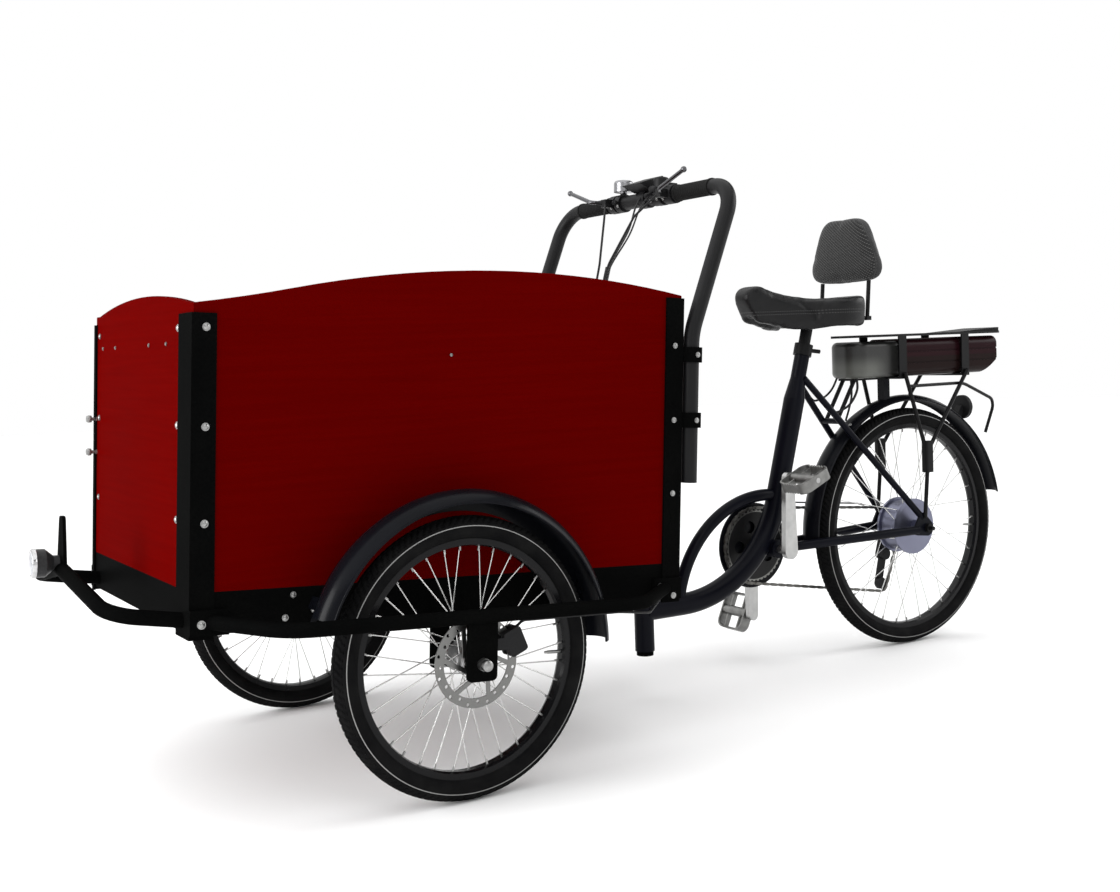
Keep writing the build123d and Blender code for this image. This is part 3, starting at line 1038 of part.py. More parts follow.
def link_chain():
    """Roller chain round the belt: waisted inner links, with outer plates over every second link."""
    line = hull_plate([(x, z, r + CHAIN_T / 2) for x, z, r in belt]).faces()[0].outer_wire()
    links = 2 * round(line.length / CHAIN_PITCH / 2)
    step = line.length / links

    def pin(n):
        """Place of a pin, or of the middle between two pins, and the way across the chain there."""
        spot = line.position_at((n * step) % line.length, position_mode=PositionMode.LENGTH)
        way = line.tangent_at((n * step) % line.length, position_mode=PositionMode.LENGTH)
        return spot, Vector(way.Y, -way.X)

    edges = [], []
    for half in range(2 * links):
        spot, across = pin(half / 2)
        reach = (CHAIN_WAIST if half % 2 else CHAIN_T) / 2
        edges[0].append(spot + across * reach)
        edges[1].append(spot - across * reach)
    bands = sorted((make_face(Polyline(*edge, close=True)) for edge in edges), key=lambda face: face.area)
    core = bands[1] - bands[0]
    plates = []
    for n in range(0, links, 2):
        a, b = pin(n)[0], pin(n + 1)[0]
        run = (b - a).normalized()
        up = Vector(-run.Y, run.X) * (CHAIN_T / 2)
        end = run * PLATE_END
        plates.append(make_face(Polyline(a - end, a + up, b + up, b + end, b - up, a - up, close=True)))
    plates = Sketch() + plates
    half_core, half_w = CHAIN_CORE_W / 2, CHAIN_W / 2
    chain = slab(core, CHAIN_Y - half_core, CHAIN_Y + half_core)
    chain += slab(plates, CHAIN_Y - half_w, CHAIN_Y - half_core)
    return chain + slab(plates, CHAIN_Y + half_core, CHAIN_Y + half_w)


parts["chain"] = link_chain()
cage_face = hull_plate([(*jockey_top, JOCKEY_R - 4), (*jockey_low, JOCKEY_R - 4)])
cage_out = CHAIN_Y - CHAIN_W / 2 - 4
mech = slab(cage_face, cage_out - 3, cage_out)
for x, z in (jockey_top, jockey_low):
    mech += pin_y(JOCKEY_R - 2, x, z, cage_out, CHAIN_Y + CHAIN_W / 2)
hanger_face = hull_plate([(REAR_AXLE_X + 4, REAR_WHEEL_R - 26, 13), (*jockey_top, 15)])
mech += slab(hanger_face, -DROP_Y - DROP_T / 2, cage_out - 3) - parts["chainstays"]
chain_path = hull_plate([(x, z, r + CHAIN_T) for x, z, r in belt])
chain_path -= hull_plate([(x, z, r - 1) for x, z, r in belt])
mech -= slab(chain_path, CHAIN_Y - CHAIN_W / 2, CHAIN_Y + CHAIN_W / 2)
parts["rear_mech"] = mech.solids().sort_by(SortBy.VOLUME)[-1]

cover_front, cover_rear = [CRANK_X - back for back in COVER_BACK]
lip = (cover_rear - 12, COVER_Z[1] - 5)
cover_top = [(cover_front, COVER_Z[0]), (cover_rear, COVER_Z[1]), lip]
cover_side = Polyline(*cover_top, *[(x, z - COVER_T) for x, z in reversed(cover_top)], close=True)
cover = slab(make_face(cover_side), *COVER_Y)
tab_x = CRANK_X - COVER_TAB_BACK
tab = block(tab_x - 8, tab_x + 8, COVER_Y[1] - COVER_T, COVER_Y[1], CRANK_Z, COVER_Z[0] - 8)
cover += tab - parts["chainstays"]
parts["chain_cover"] = cover.solids().sort_by(SortBy.VOLUME)[-1]

os.makedirs("parts", exist_ok=True)
for name, piece in parts.items():
    export_step(IN_ROW * (Part() + piece), f"parts/{name}.step")
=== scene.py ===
"""Electric cargo tricycle with a red plywood load box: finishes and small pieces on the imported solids."""
from math import cos, pi, radians, sin

import bmesh
import bpy
from mathutils import Matrix, Vector


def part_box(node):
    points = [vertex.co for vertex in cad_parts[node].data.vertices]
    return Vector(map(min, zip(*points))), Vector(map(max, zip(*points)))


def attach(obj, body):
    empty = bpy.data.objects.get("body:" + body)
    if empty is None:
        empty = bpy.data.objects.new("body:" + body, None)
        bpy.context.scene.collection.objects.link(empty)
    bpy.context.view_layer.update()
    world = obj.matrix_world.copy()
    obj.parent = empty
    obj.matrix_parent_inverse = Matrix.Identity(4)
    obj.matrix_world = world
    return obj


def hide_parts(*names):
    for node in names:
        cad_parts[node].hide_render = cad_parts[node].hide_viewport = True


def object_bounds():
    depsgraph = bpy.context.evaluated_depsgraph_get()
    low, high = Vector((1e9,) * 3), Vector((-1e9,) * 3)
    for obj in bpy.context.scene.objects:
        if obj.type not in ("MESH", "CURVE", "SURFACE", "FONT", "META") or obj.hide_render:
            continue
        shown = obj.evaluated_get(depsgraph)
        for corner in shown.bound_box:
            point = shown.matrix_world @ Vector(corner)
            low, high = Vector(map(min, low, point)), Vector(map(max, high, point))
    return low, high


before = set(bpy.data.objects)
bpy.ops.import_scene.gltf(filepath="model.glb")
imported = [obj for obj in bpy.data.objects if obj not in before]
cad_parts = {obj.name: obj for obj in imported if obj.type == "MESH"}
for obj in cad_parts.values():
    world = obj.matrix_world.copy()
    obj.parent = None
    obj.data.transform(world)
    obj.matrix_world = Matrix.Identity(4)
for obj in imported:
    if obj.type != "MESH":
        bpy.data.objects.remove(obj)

cad_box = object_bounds()

# Rear frame
# A thick bent main tube with a curved brace, chainstays and seat stays, all welded steel.
# It is powder coated in a gloss black that leans to blue, with a faint orange peel.


class Wire:
    """A socket of a finish: arithmetic on wires adds Math nodes, and node() adds any other node."""

    def __init__(self, socket):
        self.socket = socket

    @staticmethod
    def plug(node, key, value):
        """Links a wire to an input, or sets the input's own value."""
        end = {s.identifier.replace(" ", "_"): s for s in node.inputs}[key]
        if isinstance(value, Wire):
            node.id_data.links.new(value.socket, end)
        else:
            end.default_value = value

    def node(self, kind, settings=(), out=0, **values):
        """New node of a kind: its settings first, then the values or links of its inputs."""
        made = self.socket.id_data.nodes.new("ShaderNode" + kind)
        for key, value in dict(settings).items():
            setattr(made, key, value)
        for key, value in values.items():
            Wire.plug(made, key, value)
        named = {s.identifier: s for s in made.outputs}
        return Wire(named[out] if out in named else made.outputs[out])

    def math(self, operation, first, second=0.0):
        return self.node("Math", {"operation": operation}, Value=first, Value_001=second)

    def __add__(self, other):
        return self.math("ADD", self, other)

    def __sub__(self, other):
        return self.math("SUBTRACT", self, other)

    def __rsub__(self, other):
        return self.math("SUBTRACT", other, self)

    def __mul__(self, other):
        return self.math("MULTIPLY", self, other)

    def __gt__(self, other):
        return self.math("GREATER_THAN", self, other)

    def __lt__(self, other):
        return self.math("LESS_THAN", self, other)

    __radd__ = __add__
    __rmul__ = __mul__


def tone(red, green, blue):
    return red, green, blue, 1.0


def blended(share, first, second):
    """Colour from first to second by a share."""
    return share.node("Mix", {"data_type": "RGBA"}, "Result_Color",
                      Factor_Float=share, A_Color=first, B_Color=second)


def cloud(at, scale, detail=3.0, stretch=(1.0, 1.0, 1.0)):
    """Soft noise, stretched along the axes with the smaller numbers."""
    spread = at.node("Mapping", Vector=at, Scale=stretch)
    return spread.node("TexNoise", Vector=spread, Scale=scale, Detail=detail)


def bump(height, depth, strength=1.0):
    return height.node("Bump", Strength=strength, Distance=depth, Height=height)


def finish(name, surface, **fixed):
    """Material of fixed values, and of the ones that surface() works out from the place on the piece."""
    made = bpy.data.materials.new(name)
    made.use_nodes = True
    shader = made.node_tree.nodes["Principled BSDF"]
    at = Wire(made.node_tree.nodes.new("ShaderNodeTexCoord").outputs["Object"])
    for key, value in {**fixed, **surface(at)}.items():
        Wire.plug(shader, key, value)
    return made


def dress(material, *nodes):
    """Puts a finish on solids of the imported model."""
    for name in nodes:
        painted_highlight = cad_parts[name].data.materials
        painted_highlight.clear()
        painted_highlight.append(material)


def gloss_black(at):
    patches = cloud(at, 9.0)
    return {
        "Base_Color": blended(patches, tone(0.0016, 0.0018, 0.0034), tone(0.0042, 0.0046, 0.0085)),
        "Roughness": 0.24 + 0.16 * patches,
        "Normal": bump(cloud(at, 700.0, 1.0), 0.0002, 0.25),
    }


frame_paint = finish("blue_black_gloss_paint", gloss_black, Specular_IOR_Level=0.06, Coat_Weight=0.015,
                     Coat_Roughness=0.08)
dress(frame_paint, "main_tube", "brace_tube", "chainstays", "seat_stays")

# Seat post and saddle frame
# A steel post with its clamp collar, and the wire frame under the saddle that carries the backrest rods.
# Both have a plainer satin black than the frame, and so has the rear axle in its dropouts.


def satin_black(at):
    patches = cloud(at, 16.0)
    return {
        "Base_Color": blended(patches, tone(0.0022, 0.0022, 0.0025), tone(0.0075, 0.0075, 0.008)),
        "Roughness": 0.36 + 0.2 * patches,
        "Normal": bump(cloud(at, 1100.0, 2.0), 0.00015, 0.3),
    }


satin_paint = finish("satin_black_paint", satin_black, Specular_IOR_Level=0.12)
dress(satin_paint, "seat_post", "saddle_frame", "rear_axle")

# Wheels
# Black channel rims laced with 36 bright spokes to a steel front hub or to the drum of the hub motor.
# Bright nipples draw the spokes tight at the rim, and each rim has its valve between two spokes.
WHEELS = (
    # body, laced solid, tyre solid, hub radius, hub colour
    ("left_wheel", "wheel_left", "tyre_left", 0.0285, tone(0.42, 0.42, 0.42)),
    ("right_wheel", "wheel_right", "tyre_right", 0.0285, tone(0.42, 0.42, 0.42)),
    ("rear_wheel", "wheel_rear", "tyre_rear", 0.0715, tone(0.17, 0.175, 0.235)),
)
SPOKES = 36
BED_IN = 0.053
BED_SLACK = 0.0004
# Profiles of turned pieces are pairs of radius and height.
NIPPLE_R = 0.0021
NIPPLE_L = 0.011
NIPPLE_IN = NIPPLE_L * 0.8
NIPPLE_Y = 0.0031
NIPPLE_PROFILE = ((NIPPLE_R * 0.8, 0), (NIPPLE_R, 0.001), (NIPPLE_R, NIPPLE_L))
VALVE_R = 0.0032
VALVE_L = 0.034
VALVE_PROFILE = ((0.0016, 0), (0.0024, 0.001), (0.0024, 0.006), (VALVE_R, 0.007), (VALVE_R, VALVE_L + 0.002))


def wheel_place(tyre_solid):
    """Middle and radius of a wheel from its tyre."""
    low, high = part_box(tyre_solid)
    return (low + high) / 2, (high.z - low.z) / 2


def distance_from_axle(at, middle):
    """Distance from a wheel's axle over the whole wheel."""
    flat = at.node("VectorMath", {"operation": "MULTIPLY_ADD"}, Vector=at, Vector_001=(1.0, 0.0, 1.0),
                   Vector_002=(-middle[0], 0.0, -middle[2]))
    return flat.node("VectorMath", {"operation": "LENGTH"}, "Value", Vector=flat)


def laced_wheel(middle, bed_r, hub_r, hub_tone):
    """Black rim, bright spokes and a grey hub, told apart by their distance from the axle."""
    def surface(at):
        radius = distance_from_axle(at, middle)
        rim = radius > bed_r - BED_SLACK
        hub = radius < hub_r
        streaks = cloud(at, 120.0)
        metal = blended(hub, tone(0.62, 0.62, 0.61), hub_tone)
        return {
            "Base_Color": blended(rim, metal, tone(0.004, 0.004, 0.0046)),
            "Metallic": 1.0 - rim,
            "Roughness": 0.18 + 0.14 * streaks + 0.12 * hub,
        }
    return surface


def skin(mesh, rings, tint=0):
    """Faces along a row of closed rings, with a cap at each end."""
    faces = [mesh.faces.new(rings[0][::-1]), mesh.faces.new(rings[-1])]
    for near, far in zip(rings, rings[1:]):
        for k in range(len(near)):
            faces.append(mesh.faces.new((near[k - 1], near[k], far[k], far[k - 1])))
    for face in faces:
        face.material_index = tint


def lathe(mesh, place, profile, sides=20, tint=0):
    """Turned form: a ring for each radius and height of a profile about the place's own Z."""
    turns = [2 * pi * k / sides for k in range(sides)]
    rings = []
    for radius, height in profile:
        circle = [Vector((radius * cos(a), radius * sin(a), height)) for a in turns]
        rings.append([mesh.verts.new(place @ spot) for spot in circle])
    skin(mesh, rings, tint)


def facing(spot, direction):
    """Place at a spot whose Z points in a direction."""
    turn = Vector(direction).to_track_quat("Z", "Y").to_matrix().to_4x4()
    return Matrix.Translation(spot) @ turn


def outward(share):
    """Direction away from an axle at a share of a turn."""
    return Vector((cos(2 * pi * share), 0, sin(2 * pi * share)))


def added(name, data, place=Matrix()):
    """New object in the scene at a place."""
    made = bpy.data.objects.new(name, data)
    bpy.context.scene.collection.objects.link(made)
    made.matrix_world = place
    return made


def piece(name, mesh, finishes, body, place=Matrix(), crease=35.0):
    """Object from a bmesh that rides on a body."""
    data = bpy.data.meshes.new(name)
    mesh.to_mesh(data)
    mesh.free()
    for painted_highlight in finishes:
        data.materials.append(painted_highlight)
    data.polygons.foreach_set("use_smooth", [True] * len(data.polygons))
    data.set_sharp_from_angle(angle=radians(crease))
    made = added(name, data, place)
    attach(made, body)
    return made


def bright_zinc(at):
    patches = cloud(at, 260.0)
    return {
        "Base_Color": blended(patches, tone(0.18, 0.18, 0.18), tone(0.44, 0.44, 0.43)),
        "Roughness": 0.24 + 0.24 * patches,
    }


zinc = finish("bright_zinc", bright_zinc, Metallic=1.0)


def wheel_trim(name, body, middle, bed_r):
    """Nipples round the rim's bed, to the left and right in turn, and one valve."""
    mesh = bmesh.new()
    for n in range(SPOKES):
        out = outward(n / SPOKES)
        aside = Vector((0, NIPPLE_Y if n % 2 == 0 else -NIPPLE_Y, 0))
        lathe(mesh, facing(middle + out * (bed_r - NIPPLE_IN) + aside, out), NIPPLE_PROFILE, sides=8)
    out = outward((SPOKES // 2 + 0.5) / SPOKES)
    lathe(mesh, facing(middle + out * (bed_r - VALVE_L), out), VALVE_PROFILE, sides=12)
    piece(name, mesh, [zinc], body)


for body, solid, tyre_solid, hub_r, hub_tone in WHEELS:
    middle, radius = wheel_place(tyre_solid)
    laced = laced_wheel(middle, radius - BED_IN, hub_r, hub_tone)
    dress(finish(solid + "_laced", laced, Specular_IOR_Level=0.15), solid)
    wheel_trim(body + "_nipples", body, middle, radius - BED_IN)

# Tyres
# Black road tyres with a moulded block tread, a smooth sidewall and a pale reflecting line on each side.
# They are rubber with dusty grey patches, held on the rims by their air.
CASING_HALF = 0.0235
CASING_HIGH = 0.023
TREAD_DEPTH = 0.0022
TREAD_PITCH = 0.0135
TREAD_SLANT = 70
TREAD_BANDS = (
    # edge in degrees from the crown, slanted or not, shift and width of the gap in a pitch, share of depth
    (8, False, 0.0, 0.15, 0.6),
    (13, False, 0.0, 1.0, 1.0),
    (36, True, 0.0, 0.34, 1.0),
    (58, True, 0.25, 0.4, 0.9),
)
STEPS_PER_PITCH = 6
COLUMN_STEP = 4
SIDE_ANGLE = 132
LINE_ANGLES = (72, 76)
LIP_Y = 0.0124
LIP_DROP = 0.002


def groove(share, angle):
    """Depth cut into the crown at a share of one tread pitch and degrees from the middle."""
    slant = share + abs(angle) / TREAD_SLANT + (0.5 if angle > 0 else 0.0)
    for edge, slanted, shift, gap, depth in TREAD_BANDS:
        if abs(angle) <= edge:
            along = (slant + shift) % 1 if slanted else share
            return TREAD_DEPTH * depth if along < gap else 0.0
    return 0.0


def dusty_rubber(at):
    fine = cloud(at, 420.0, 4.0)
    dust = cloud(at, 26.0, 5.0)
    return {
        "Base_Color": blended(dust * dust * 0.8, tone(0.0030, 0.0030, 0.0034), tone(0.017, 0.017, 0.0163)),
        "Roughness": 0.62 + 0.25 * fine,
        "Normal": bump(fine, 0.0004, 0.5),
    }


def reflecting_line(at):
    grains = cloud(at, 900.0, 2.0)
    return {
        "Base_Color": blended(grains, tone(0.17, 0.17, 0.17), tone(0.36, 0.36, 0.35)),
        "Roughness": 0.35 + 0.25 * grains,
    }


rubber = finish("dusty_tyre_rubber", dusty_rubber, Specular_IOR_Level=0.03)
pale_line = finish("reflecting_sidewall_line", reflecting_line, Specular_IOR_Level=0.2)


def tyre(name, body, solid, middle, radius):
    """Tyre turned from a round section whose crown is cut by the tread pattern."""
    around = round(2 * pi * radius / TREAD_PITCH) * STEPS_PER_PITCH
    angles = list(range(-SIDE_ANGLE, SIDE_ANGLE + 1, COLUMN_STEP))
    column_angles = [SIDE_ANGLE, *(min(abs(a), abs(b)) for a, b in zip(angles, angles[1:])), SIDE_ANGLE]
    mid = radius - CASING_HIGH
    lip_r = mid + CASING_HIGH * cos(radians(SIDE_ANGLE)) - LIP_DROP
    mesh = bmesh.new()
    rings = []
    for step in range(around):
        turn = 2 * pi * step / around
        share = (step % STEPS_PER_PITCH) / STEPS_PER_PITCH
        section = [(lip_r, -LIP_Y)]
        for angle in angles:
            cut = groove(share, angle)
            lean = radians(angle)
            section.append((mid + (CASING_HIGH - cut) * cos(lean), (CASING_HALF - cut) * sin(lean)))
        section.append((lip_r, LIP_Y))
        rings.append([mesh.verts.new((r * cos(turn), y, r * sin(turn))) for r, y in section])
    for near, far in zip(rings, rings[1:] + rings[:1]):
        for c, angle in enumerate(column_angles):
            face = mesh.faces.new((near[c], near[c + 1], far[c + 1], far[c]))
            face.material_index = int(LINE_ANGLES[0] <= angle < LINE_ANGLES[1])
    made = piece(name, mesh, [rubber, pale_line], body, Matrix.Translation(middle))
    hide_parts(solid)


for body, _, solid, _, _ in WHEELS:
    tyre(body + "_tyre", body, solid, *wheel_place(solid))

# Brake rotors
# Stamped stainless discs with a drilled band, brushed in rings by the pads.
# Each is held on the outer end of its hub by six low bolts.
ROTORS = (
    # side, body, rotor solid, tyre solid
    (1, "left_wheel", "rotor_left", "tyre_left"),
    (-1, "right_wheel", "rotor_right", "tyre_right"),
)
ROTOR_Y = 0.041
ROTOR_BOLTS = 6
ROTOR_BOLT_RING = 0.0205
ROTOR_BOLT_PROFILE = ((0.0036, 0), (0.0036, 0.001), (0.003, 0.0022), (0.0012, 0.0022))
BRUSH_LINES = 2600.0


def brushed_disc(middle):
    def surface(at):
        radius = distance_from_axle(at, middle)
        rings = radius.node("TexNoise", {"noise_dimensions": "1D"}, W=radius * BRUSH_LINES,
                            Scale=1.0, Detail=2.0)
        return {
            "Base_Color": blended(rings, tone(0.09, 0.09, 0.09), tone(0.26, 0.26, 0.25)),
            "Roughness": 0.24 + 0.2 * rings,
            "Normal": bump(rings, 0.0001, 0.3),
        }
    return surface


for side, body, solid, tyre_solid in ROTORS:
    middle = wheel_place(tyre_solid)[0]
    dress(finish(solid + "_brushed", brushed_disc(middle), Metallic=1.0), solid)
    mesh = bmesh.new()
    for n in range(ROTOR_BOLTS):
        spot = middle + outward(n / ROTOR_BOLTS) * ROTOR_BOLT_RING + Vector((0, side * ROTOR_Y, 0))
        lathe(mesh, facing(spot, (0, side, 0)), ROTOR_BOLT_PROFILE, sides=12)
    piece(body + "_rotor_bolts", mesh, [zinc], body)

# Load box panels
# Plywood walls stained deep red under a clear varnish, the upper edges sawn to long curves.
# The grain runs lengthwise, and the walls are bolted to the corner posts.


def red_varnish(at):
    grain = cloud(at, 5.0, 6.0, (0.8, 0.8, 26.0))
    pores = cloud(at, 60.0, 4.0, (0.5, 0.5, 18.0))
    patches = cloud(at, 2.2, 2.0)
    stain = grain * 0.6 + patches * 0.4
    return {
        "Base_Color": blended(stain, tone(0.062, 0.0001, 0.0001), tone(0.106, 0.0005, 0.0002)),
        "Roughness": 0.34 + 0.2 * patches,
        "Normal": bump(pores, 0.0002, 0.12),
    }


varnish = finish("red_varnished_plywood", red_varnish, Specular_IOR_Level=0.0004)
dress(varnish, "side_panel_left", "side_panel_right", "front_panel", "rear_panel")

# Box floor
# A plywood sheet let in between the walls, lying on the base crossmembers.
# It is stained like the walls, under a satin varnish that loads have scuffed.


def scuffed_floor(at):
    grain = cloud(at, 6.0, 6.0, (0.8, 22.0, 1.0))
    scuffs = cloud(at, 40.0, 5.0, (0.4, 2.5, 1.0))
    return {
        "Base_Color": blended(grain, tone(0.085, 0.012, 0.007), tone(0.17, 0.030, 0.016)),
        "Roughness": 0.42 + 0.3 * scuffs,
        "Normal": bump(scuffs, 0.0002, 0.3),
    }


dress(finish("scuffed_floor_varnish", scuffed_floor, Specular_IOR_Level=0.3), "box_floor")

# Base frame, corner posts and running gear
# Square steel rails under the box, angle-iron posts at its corners and bent tube rails outside the wheels.
# All are welded or bolted and coated satin black, with faint dusty patches.


def coated_steel(at):
    patches = cloud(at, 7.0)
    grit = cloud(at, 300.0, 3.0)
    return {
        "Base_Color": blended(patches * grit, tone(0.0012, 0.0013, 0.0014), tone(0.007, 0.007, 0.0065)),
        "Roughness": 0.38 + 0.25 * patches,
        "Normal": bump(grit, 0.00015, 0.3),
    }


coat = finish("black_coated_steel", coated_steel, Specular_IOR_Level=0.001)
dress(coat, "base_rails", "base_crossmembers", "corner_posts_front", "corner_posts_rear", "outer_rails",
      "axle_plates", "steering_yoke", "handlebar_clamps", "bumper")

# Bolts and screws of the box
# Bright zinc dome-head bolts hold the posts to the walls and the rail shoes to the base.
# Small screws hold the battens inside, two latch knobs stand on the right post, dome nuts close the axles.
BOX_PITCH = radians(3.5)
FRONT_AXLE = (wheel_place("tyre_left")[0] + wheel_place("tyre_right")[0]) / 2
# Pieces of the box are made as if it stood level, with x from the front axle, and this tips them.
LEVEL_BOX = (Matrix.Translation(FRONT_AXLE) @ Matrix.Rotation(-BOX_PITCH, 4, "Y")
             @ Matrix.Translation((0, 0, -FRONT_AXLE.z)))
BOX_HALF = 0.3175
POST_OUT = 0.3215
SHOE_OUT = 0.3275
CLAMP_OUT = 0.338
FRONT_X = 0.464
POST_BOLT_ZS = (0.813, 0.651, 0.4935)
SIDE_BOLTS = (
    # x, distance out, z, head radius
    *((0.444, POST_OUT, z, 0.0050) for z in POST_BOLT_ZS),
    *((-0.503, POST_OUT, z, 0.0042) for z in (0.812, 0.665, 0.520)),
    (0.449, SHOE_OUT, 0.330, 0.0054), (0.412, SHOE_OUT, 0.330, 0.0046),
    (-0.472, SHOE_OUT, 0.338, 0.0048), (-0.505, SHOE_OUT, 0.318, 0.0046),
    (0.302, BOX_HALF, 0.330, 0.0044), (0.251, BOX_HALF, 0.340, 0.0040),
    (0.288, BOX_HALF, 0.368, 0.0042), (-0.262, BOX_HALF, 0.340, 0.0040),
    *((-0.547, CLAMP_OUT, z, 0.0040) for z in (0.665, 0.795)),
    (-0.006, BOX_HALF, 0.780, 0.0022),
)
FRONT_BOLTS = (
    # y, z, head radius
    *((0.236, z, 0.0048) for z in POST_BOLT_ZS),
    *((-0.288, z, 0.0042) for z in POST_BOLT_ZS),
    *((y, 0.788, 0.0026) for y in (-0.262, -0.168, 0.062, 0.168)),
)
WASHER_WIDE = 1.35
WASHER_T = 0.0012
HEAD_EDGE = 0.0022
HEAD_DOME = ((0.9, 0.5), (0.62, 0.72), (0.2, 0.82))
KNOB_Y = -0.311
KNOB_ZS = (0.648, 0.582)
KNOB_PROFILE = ((0.0060, 0), (0.0060, 0.003), (0.0036, 0.0035), (0.0036, 0.010),
                (0.0070, 0.011), (0.0078, 0.016), (0.006, 0.020), (0.001, 0.021))
AXLE_NUT_Y = 0.474
AXLE_NUT_PROFILE = ((0.0064, 0), (0.0105, 0.0002), (0.0105, 0.003), (0.0095, 0.0065), (0.006, 0.009),
                    (0.001, 0.0098))


def dome_bolt(mesh, place, radius):
    """Washer and low domed head."""
    washer = radius * WASHER_WIDE
    profile = [(washer, 0), (washer, WASHER_T), (radius, WASHER_T + 0.0001), (radius, HEAD_EDGE)]
    profile += [(radius * wide, radius * high) for wide, high in HEAD_DOME]
    lathe(mesh, place, profile, sides=18)


mesh = bmesh.new()
for side in (1, -1):
    for x, out, z, radius in SIDE_BOLTS:
        dome_bolt(mesh, facing((x, side * out, z), (0, side, 0)), radius)
for y, z, radius in FRONT_BOLTS:
    dome_bolt(mesh, facing((FRONT_X, y, z), (1, 0, 0)), radius)
piece("box_bolts", mesh, [zinc], "box_unit", LEVEL_BOX)
mesh = bmesh.new()
for z in KNOB_ZS:
    lathe(mesh, facing((FRONT_X, KNOB_Y, z), (1, 0, 0)), KNOB_PROFILE)
piece("latch_knobs", mesh, [zinc], "box_unit", LEVEL_BOX)
mesh = bmesh.new()
for side in (1, -1):
    lathe(mesh, facing((0, side * AXLE_NUT_Y, FRONT_AXLE.z), (0, side, 0)), AXLE_NUT_PROFILE, sides=24)
piece("axle_dome_nuts", mesh, [zinc], "box_unit", LEVEL_BOX)
dress(zinc, "front_axles")

# Brake calipers
# Cast two-piston calipers over the rotors, bolted to the axle plates, and the rear mech on its hanger.
# Both are aluminium, anodised black.


def cast_black(at):
    grit = cloud(at, 700.0, 3.0)
    return {
        "Base_Color": blended(grit, tone(0.004, 0.004, 0.0045), tone(0.014, 0.014, 0.015)),
        "Roughness": 0.45 + 0.2 * grit,
        "Normal": bump(grit, 0.0003, 0.4),
    }


anodised = finish("black_anodised_casting", cast_black, Specular_IOR_Level=0.15)
dress(anodised, "brake_calipers", "rear_mech")

# Mudguards
# Pressed strips with a crowned section over each wheel, on flat straps at the box and a bracket at the rack.
# They are coated in glossy black, and so are the chain cover and the guard disc.


def guard_gloss(at):
    patches = cloud(at, 12.0)
    scratches = cloud(at, 240.0, 4.0, (0.2, 1.0, 0.2))
    return {
        "Base_Color": blended(patches, tone(0.0018, 0.002, 0.003), tone(0.005, 0.0055, 0.0078)),
        "Roughness": 0.18 + 0.12 * patches + 0.08 * scratches,
        "Normal": bump(scratches, 0.0001, 0.12),
    }


guard_black = finish("glossy_guard_black", guard_gloss, Specular_IOR_Level=0.07, Coat_Weight=0.02,
                     Coat_Roughness=0.06)
dress(guard_black, "front_mudguards", "rear_mudguard", "chain_cover", "guard_disc")

# Dark sheets in the front mudguards
# A flat black sheet under the inner edge of each front guard, between guard and tyre, is painted shade: it
# darkens the gap where shade falls.
# It has the same glossy black finish as the guards.
SHADE_SHEET_Y = 0.3655
SHADE_SHEET_T = 0.0014
SHADE_SHEET_R = (0.2545, 0.2865)
SHADE_SHEET_ANGLES = (14.0, 166.0)
SHADE_SHEET_STEPS = 64
SHADE_SHEET_TAPER = 6
# Painted shade: black sheets that darken the gap between each front guard and its tyre.
mesh = bmesh.new()
for side in (1, -1):
    rows = []
    for step in range(SHADE_SHEET_STEPS + 1):
        share = step / SHADE_SHEET_STEPS
        turn = radians(SHADE_SHEET_ANGLES[0] + (SHADE_SHEET_ANGLES[1] - SHADE_SHEET_ANGLES[0]) * share)
        sheet_inner_r = SHADE_SHEET_R[1] - (SHADE_SHEET_R[1] - SHADE_SHEET_R[0]) * min(1.0, SHADE_SHEET_TAPER * sin(pi * share))
        loop = ((sheet_inner_r, 0.0), (SHADE_SHEET_R[1], 0.0), (SHADE_SHEET_R[1], SHADE_SHEET_T), (sheet_inner_r, SHADE_SHEET_T))
        spots = [(r * cos(turn), side * (SHADE_SHEET_Y - y), FRONT_AXLE.z + r * sin(turn)) for r, y in loop]
        rows.append([mesh.verts.new(spot) for spot in spots])
    skin(mesh, rows[::side])
bmesh.ops.recalc_face_normals(mesh, faces=mesh.faces)
piece("front_guard_valances", mesh, [guard_black], "box_unit", LEVEL_BOX)

# Front part of the rear mudguard
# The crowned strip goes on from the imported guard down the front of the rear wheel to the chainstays.
# It is pressed from the same coated sheet, with rolled edges and two rivets at the lap.
APRON_R = 0.334
APRON_HALF = 0.027
APRON_SAG = 0.011
APRON_T = 0.0025
APRON_ROLL_OUT = 0.00064
APRON_ROLL_IN = 0.0016
APRON_ANGLES = (55.0, -4.0)
APRON_STEPS = 40
APRON_COLUMNS = 8
RIVET_R = 0.0030
RIVET_YS = (-0.012, 0.012)
RIVET_SHARE = 54.0 / 360.0
RIVET_IN = 0.0022
rear_axle = wheel_place("tyre_rear")[0]
mesh = bmesh.new()
rows = []
for step in range(APRON_STEPS + 1):
    turn = radians(APRON_ANGLES[0] + (APRON_ANGLES[1] - APRON_ANGLES[0]) * step / APRON_STEPS)
    outer, inner = [], []
    for k in range(-APRON_COLUMNS, APRON_COLUMNS + 1):
        across = k / APRON_COLUMNS
        crown = APRON_R - APRON_SAG * across ** 2
        rolled = abs(k) == APRON_COLUMNS
        outer.append((crown + APRON_ROLL_OUT * rolled, APRON_HALF * across))
        inner.append((crown - APRON_T - APRON_ROLL_IN * rolled, APRON_HALF * across))
    loop = outer + inner[::-1]
    rows.append([mesh.verts.new(rear_axle + Vector((r * cos(turn), y, r * sin(turn)))) for r, y in loop])
skin(mesh, rows[::-1])
piece("rear_guard_apron", mesh, [guard_black], "frame")
mesh = bmesh.new()
for y in RIVET_YS:
    out = outward(RIVET_SHARE)
    dome_bolt(mesh, facing(rear_axle + out * (APRON_R - RIVET_IN) + Vector((0, y, 0)), out), RIVET_R)
piece("rear_guard_rivets", mesh, [zinc], "frame")

